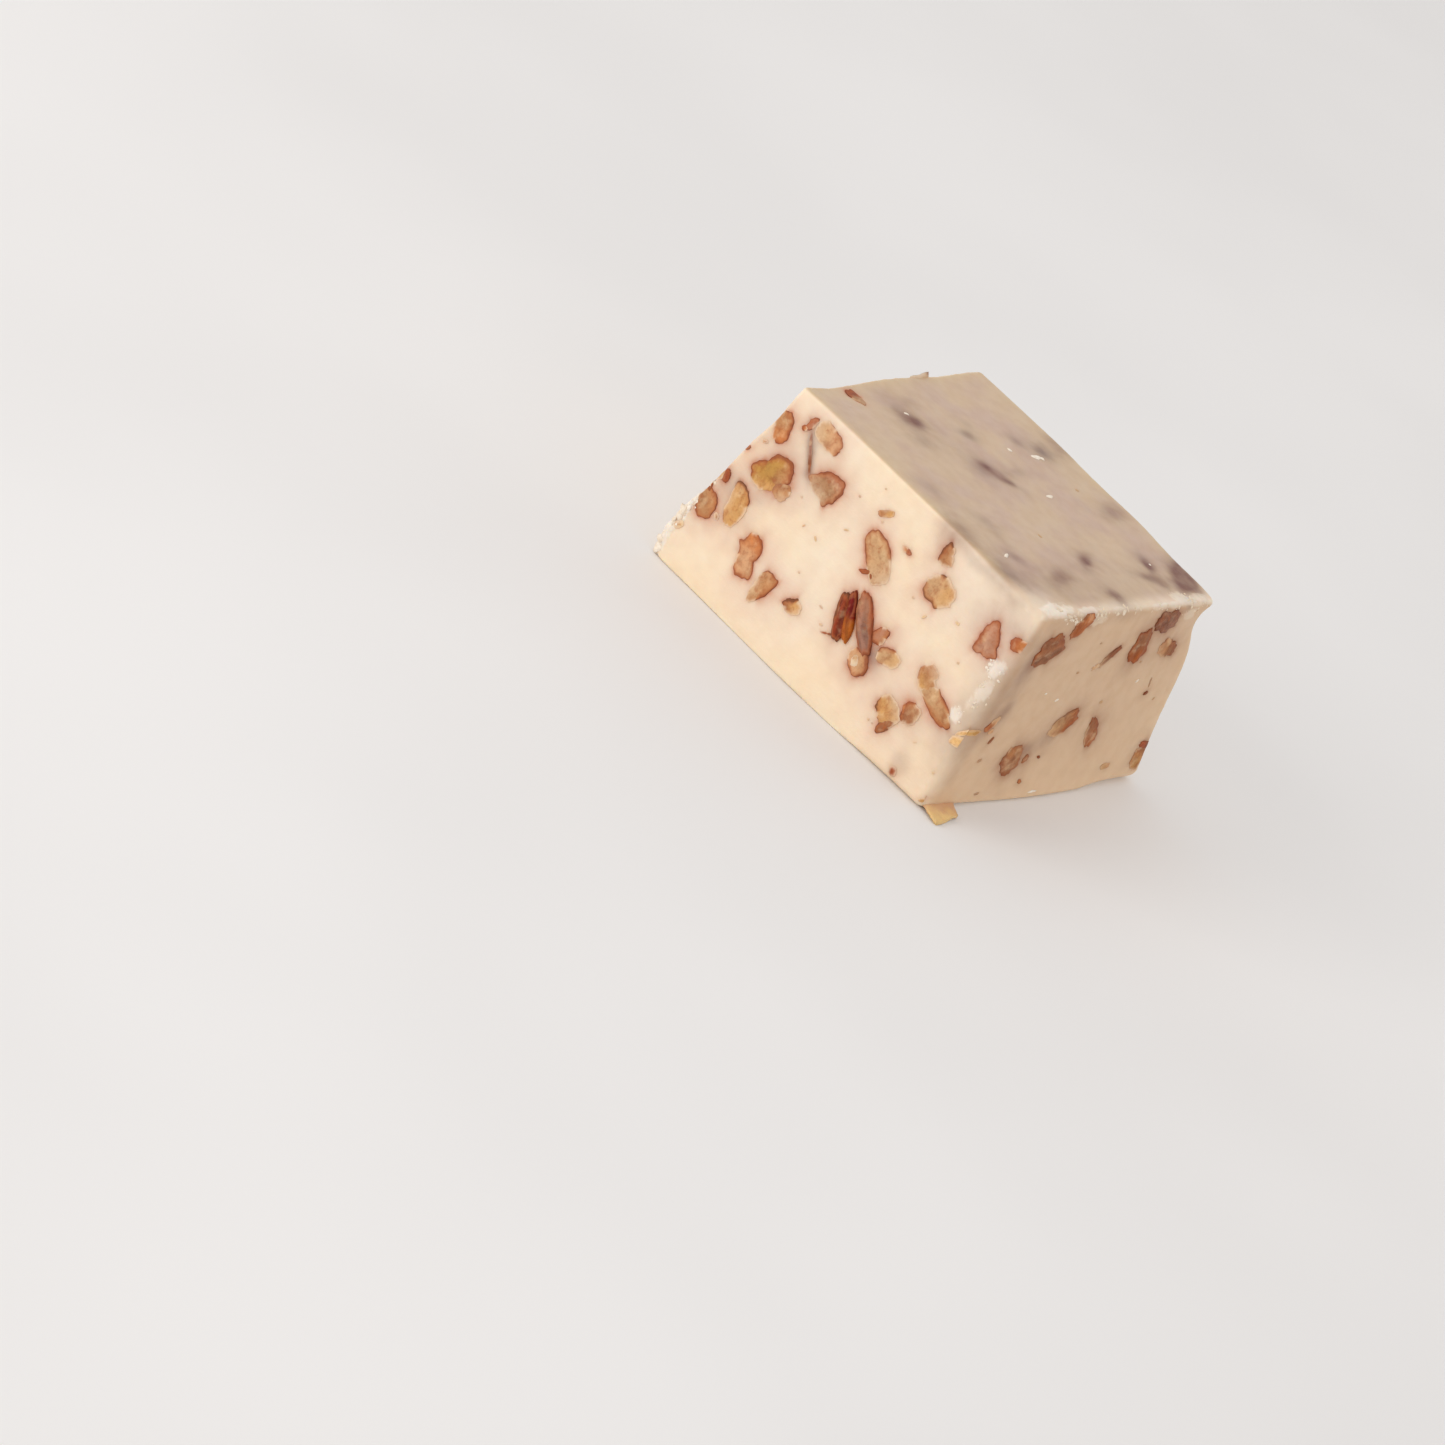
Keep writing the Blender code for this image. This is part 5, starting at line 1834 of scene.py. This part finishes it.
    def on_patches(self, chance: np.random.Generator) -> list[tuple[Array, ...]]:
        """Crumbs on the torn patches.

        Args:
            chance: the random draws.

        Returns:
            For each patch, what on_edges gives for a run.
        """
        found = []
        for face, u, v, reach_u, reach_v, count, largest, white in self.patches:
            spots_u = u + chance.normal(0, reach_u * 0.6, count)
            spots_v = np.minimum(v + chance.normal(0, reach_v * 0.6, count), self.highest)
            points = FORM.on_face(face, spots_u, spots_v)
            out = np.tile(FORM.tangents(face, u, v)[2], (count, 1))
            size = largest * chance.uniform(0.35, 1.0, count) ** 1.6 + 0.04
            found.append((points, out, size, np.full(count, white)))
        return found

    def build(self, material: Material) -> Object:
        """Scatter the crumbs.

        Args:
            material: the crumb's finish.

        Returns:
            The object.
        """
        chance = np.random.default_rng(self.seed)
        whole = bmesh.new()
        found = self.on_edges(chance) + self.on_patches(chance)
        shades = []
        for place, way, size, white in zip(*(np.concatenate(rows) for rows in zip(*found))):
            spin = Matrix.Rotation(chance.uniform(0, math.tau), 3, "Z")
            turn = Vector(way).to_track_quat("Z", "Y").to_matrix() @ spin
            lengths = chance.uniform(0.65, 1.35, 3) * size * np.array(self.squat)
            added = self.lump(whole, place - way * size * self.rest, turn, lengths)
            shades += [white * chance.uniform(0.6, 1.2)] * added
        for face, u, v, length, width, angle in self.flakes:
            ways = Matrix([Vector(way) for way in FORM.tangents(face, u, v)]).transposed()
            turn = ways @ Matrix.Rotation(math.radians(angle), 3, "Z")
            lengths = np.array((length / 2, width / 2, self.flake_height))
            shades += [1.0] * self.lump(whole, FORM.spot(face, u, v), turn, lengths)
        face_outwards(whole)
        crumbs = object_from("edge_crumbs", whole, material)
        paint(crumbs, "white", np.clip(np.array(shades), 0, 1)[:, None].repeat(3, axis=1))
        return crumbs


@dataclass
class Studio:
    """The floor, the soft light and the camera; lengths are metres, angles degrees and powers watts."""

    place: Triple = (0.29384, -0.63684, 0.30935)
    azimuth: float = 26.258
    elevation: float = 25.404
    roll: float = -32.774
    lens: float = 124.567
    sensor: float = 36.0
    far: float = 20.0
    floor_side: float = 6.0
    sky: float = 0.82
    sky_colour: tuple = (1.0, 0.985, 0.97)
    key: float = 1.5
    key_colour: tuple = (1.0, 0.985, 0.96)
    key_place: Triple = (-0.38, -0.62, 0.3)
    key_side: float = 0.4
    aim: Triple = (0, 0, 0.018)

    def camera(self) -> None:
        """Aim the camera as the photograph was taken."""
        azimuth, elevation, roll = (math.radians(a) for a in (self.azimuth, self.elevation, self.roll))
        level = math.cos(elevation)
        back = Vector((math.sin(azimuth) * level, -math.cos(azimuth) * level, math.sin(elevation)))
        aside = (-back).cross(Vector((0, 0, 1))).normalized()
        up = math.cos(roll) * aside.cross(-back) + math.sin(roll) * aside
        turn = Matrix((up.cross(back), up, back)).transposed()
        data = bpy.data.cameras.new("camera")
        data.lens = self.lens
        data.sensor_width = self.sensor
        data.clip_end = self.far
        camera = bpy.data.objects.new("camera", data)
        camera.matrix_world = Matrix.Translation(self.place) @ turn.to_4x4()
        bpy.context.scene.collection.objects.link(camera)
        bpy.context.scene.camera = camera

    def floor(self) -> None:
        """Lay the floor under the piece."""
        mesh = bmesh.new()
        bmesh.ops.create_grid(mesh, x_segments=1, y_segments=1, size=self.floor_side / 2)
        floor = object_from("floor", mesh, FloorFinish().build())

    def light(self) -> None:
        """Add the key light, a soft square that looks at the piece."""
        data = bpy.data.lights.new("key", "AREA")
        data.shape = "SQUARE"
        data.size = self.key_side
        data.energy = self.key
        data.color = self.key_colour
        lamp = bpy.data.objects.new("key", data)
        turn = (Vector(self.aim) - Vector(self.key_place)).to_track_quat("-Z", "Y")
        lamp.matrix_world = Matrix.Translation(self.key_place) @ turn.to_matrix().to_4x4()
        bpy.context.scene.collection.objects.link(lamp)

    def build(self) -> None:
        """Build the studio under a soft sky."""
        scene = bpy.context.scene
        scene.view_settings.view_transform = "Standard"
        scene.view_settings.look = "None"
        world = bpy.data.worlds.new("soft_sky")
        world.use_nodes = True
        sky = world.node_tree.nodes["Background"]
        sky.inputs["Color"].default_value = (*self.sky_colour, 1)
        sky.inputs["Strength"].default_value = self.sky
        scene.world = world
        self.floor()
        self.light()
        self.camera()


def side_of(node: str) -> Face:
    """The face that a pecan node's name gives."""
    return Face[node.split("_")[1].upper()]


# The colours that the hidden faces' nuts take in turn, and their size as a share of their nodes'.
HIDDEN_LOOKS = ((TAN, BROWN), (GOLD, TAN), (BEIGE, TAN), (ROSE, BROWN), (BROWN, TAN), (TAN, ORANGE))
HIDDEN_SHARE = 0.97


def hidden_nuts(nodes: list[str]) -> tuple[Nut, ...]:
    """Nuts for the faces turned away, fitted to the frame's own pieces.

    Args:
        nodes: the nodes of those pieces.

    Returns:
        A nut for each node.
    """
    chance = np.random.default_rng(23)
    found = []
    for count, name in enumerate(nodes):
        face = side_of(name)
        u_axis, v_axis = face.value[2:]
        low, high = (drawn(corner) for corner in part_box(name))
        middle, side = (low + high) / 2, high - low
        meat, blush = HIDDEN_LOOKS[count % len(HIDDEN_LOOKS)]
        start = chance.uniform(0, 360)
        lengths = sorted((side[u_axis], side[v_axis]), reverse=True)
        angle = 0 if side[u_axis] > side[v_axis] else 90
        found.append(Nut(
            face, middle[u_axis], middle[v_axis], lengths[0] * HIDDEN_SHARE, lengths[1] * HIDDEN_SHARE,
            angle + chance.uniform(-8, 8), meat, blush, chance.uniform(0, 360),
            (Arc(start, start + chance.uniform(110, 250), chance.uniform(0.2, 0.34)),),
            (Dent(start + chance.uniform(60, 300), -0.28), Dent(start, 0.16), Dent(start + 150, 0.14)),
            veil_way=start + 240, veil=chance.uniform(0.0, 0.25), taper=chance.uniform(-0.25, 0.25),
            bend=chance.uniform(-0.15, 0.15), proud=0.02 if face is Face.BASE else 0.12, depth=1.6,
            square=chance.uniform(2.2, 2.8), seed=count,
        ))
    return tuple(found)


FLAKES = (
    PecanFlake(
        "pecan_flake_above", "pecan_flake_top",
        ((-25.6, 3.4, 33.6), (-25.3, 10.3, 33.4), (-26.6, 8.8, 36.2), (-26.5, 3.9, 35.6)), 0.9,
        PEACH, IVORY, CHESTNUT, 3,
    ),
    PecanFlake(
        "pecan_flake_below", "pecan_flake_corner",
        ((28.0, -28.0, 1.3), (29.2, -20.6, 1.2), (32.4, -22.0, 0.8), (33.2, -29.0, 0.5)), 0.8,
        PEACH, STRAW, GOLD, 8,
    ),
)

# A lobe longer than this stands for a node, and it may lie this far outside of the node's box.
NODE_LENGTH = 2
NODE_SLACK = 0.6


def groups(nuts: tuple[Nut, ...], slots: dict[str, str]) -> dict[tuple[str, Face], list[Nut]]:
    """Share the lobes out by material slot and face.

    Args:
        nuts: the lobes.
        slots: each pecan node's slot.

    Returns:
        The lobes of each slot and face. A lobe too small to have a node takes the plain slot.
    """
    boxes = {name: [drawn(corner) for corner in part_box(name)] for name in slots}
    found: dict[tuple[str, Face], list[Nut]] = {}
    for nut in nuts:
        place = FORM.spot(nut.face, nut.u, nut.v)
        best, owner = 1.0, "pecan"
        for name, (low, high) in boxes.items():
            off = np.abs(place - (low + high) / 2) / ((high - low) / 2 + NODE_SLACK)
            if nut.length > NODE_LENGTH and off.max() < best:
                best, owner = off.max(), slots[name]
        found.setdefault((owner, nut.face), []).append(nut)
    return found


def settle(piece: Object, slot: str, *nodes: str) -> None:
    """Fix a piece to the block, hide the frame's nodes that it stands for, and report it.

    Args:
        piece: the piece.
        slot: its material slot; not used.
        nodes: the nodes.
    """
    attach(piece, "root")
    if nodes:
        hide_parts(*nodes)
    LOG.info("%s: %d faces", piece.name, len(piece.data.polygons))


def main() -> None:
    """Build the piece and its studio."""
    logging.basicConfig(level=logging.INFO, format="%(message)s")
    rows = frame["record"]["subparts"]
    slots = {row["node"]: row["material_slot"] for row in rows if row["node"].startswith("pecan_")}
    cut = {name: slot for name, slot in slots.items() if "flake" not in name}
    specks = tuple(Nut(face, *row, row[-1], halo=0.3, proud=0.03) for face, rows in SPECKS for row in rows)
    shown = tuple(replace(nut, seed=count) for count, nut in enumerate(FRONT_NUTS + END_NUTS + specks))
    nuts = shown + hidden_nuts(sorted(name for name in cut if side_of(name) in (B, R, Face.BASE)))
    settle(FudgeBlock(nuts).build(FudgeFinish().build()), "fudge", "fudge")
    settle(EdgeCrumbs().build(CrumbFinish().build()), "fudge")
    pecan = PecanFinish().build()
    for (slot, face), lobes in groups(nuts, cut).items():
        covered = [name for name in cut if cut[name] == slot and side_of(name) is face]
        settle(PecanPieces(f"{slot}_{face.name.lower()}", tuple(lobes)).build(pecan), slot, *covered)
    for flake in FLAKES:
        settle(flake.build(pecan), slots[flake.node], flake.node)
    Studio().build()


if __name__ == "__main__":
    main()
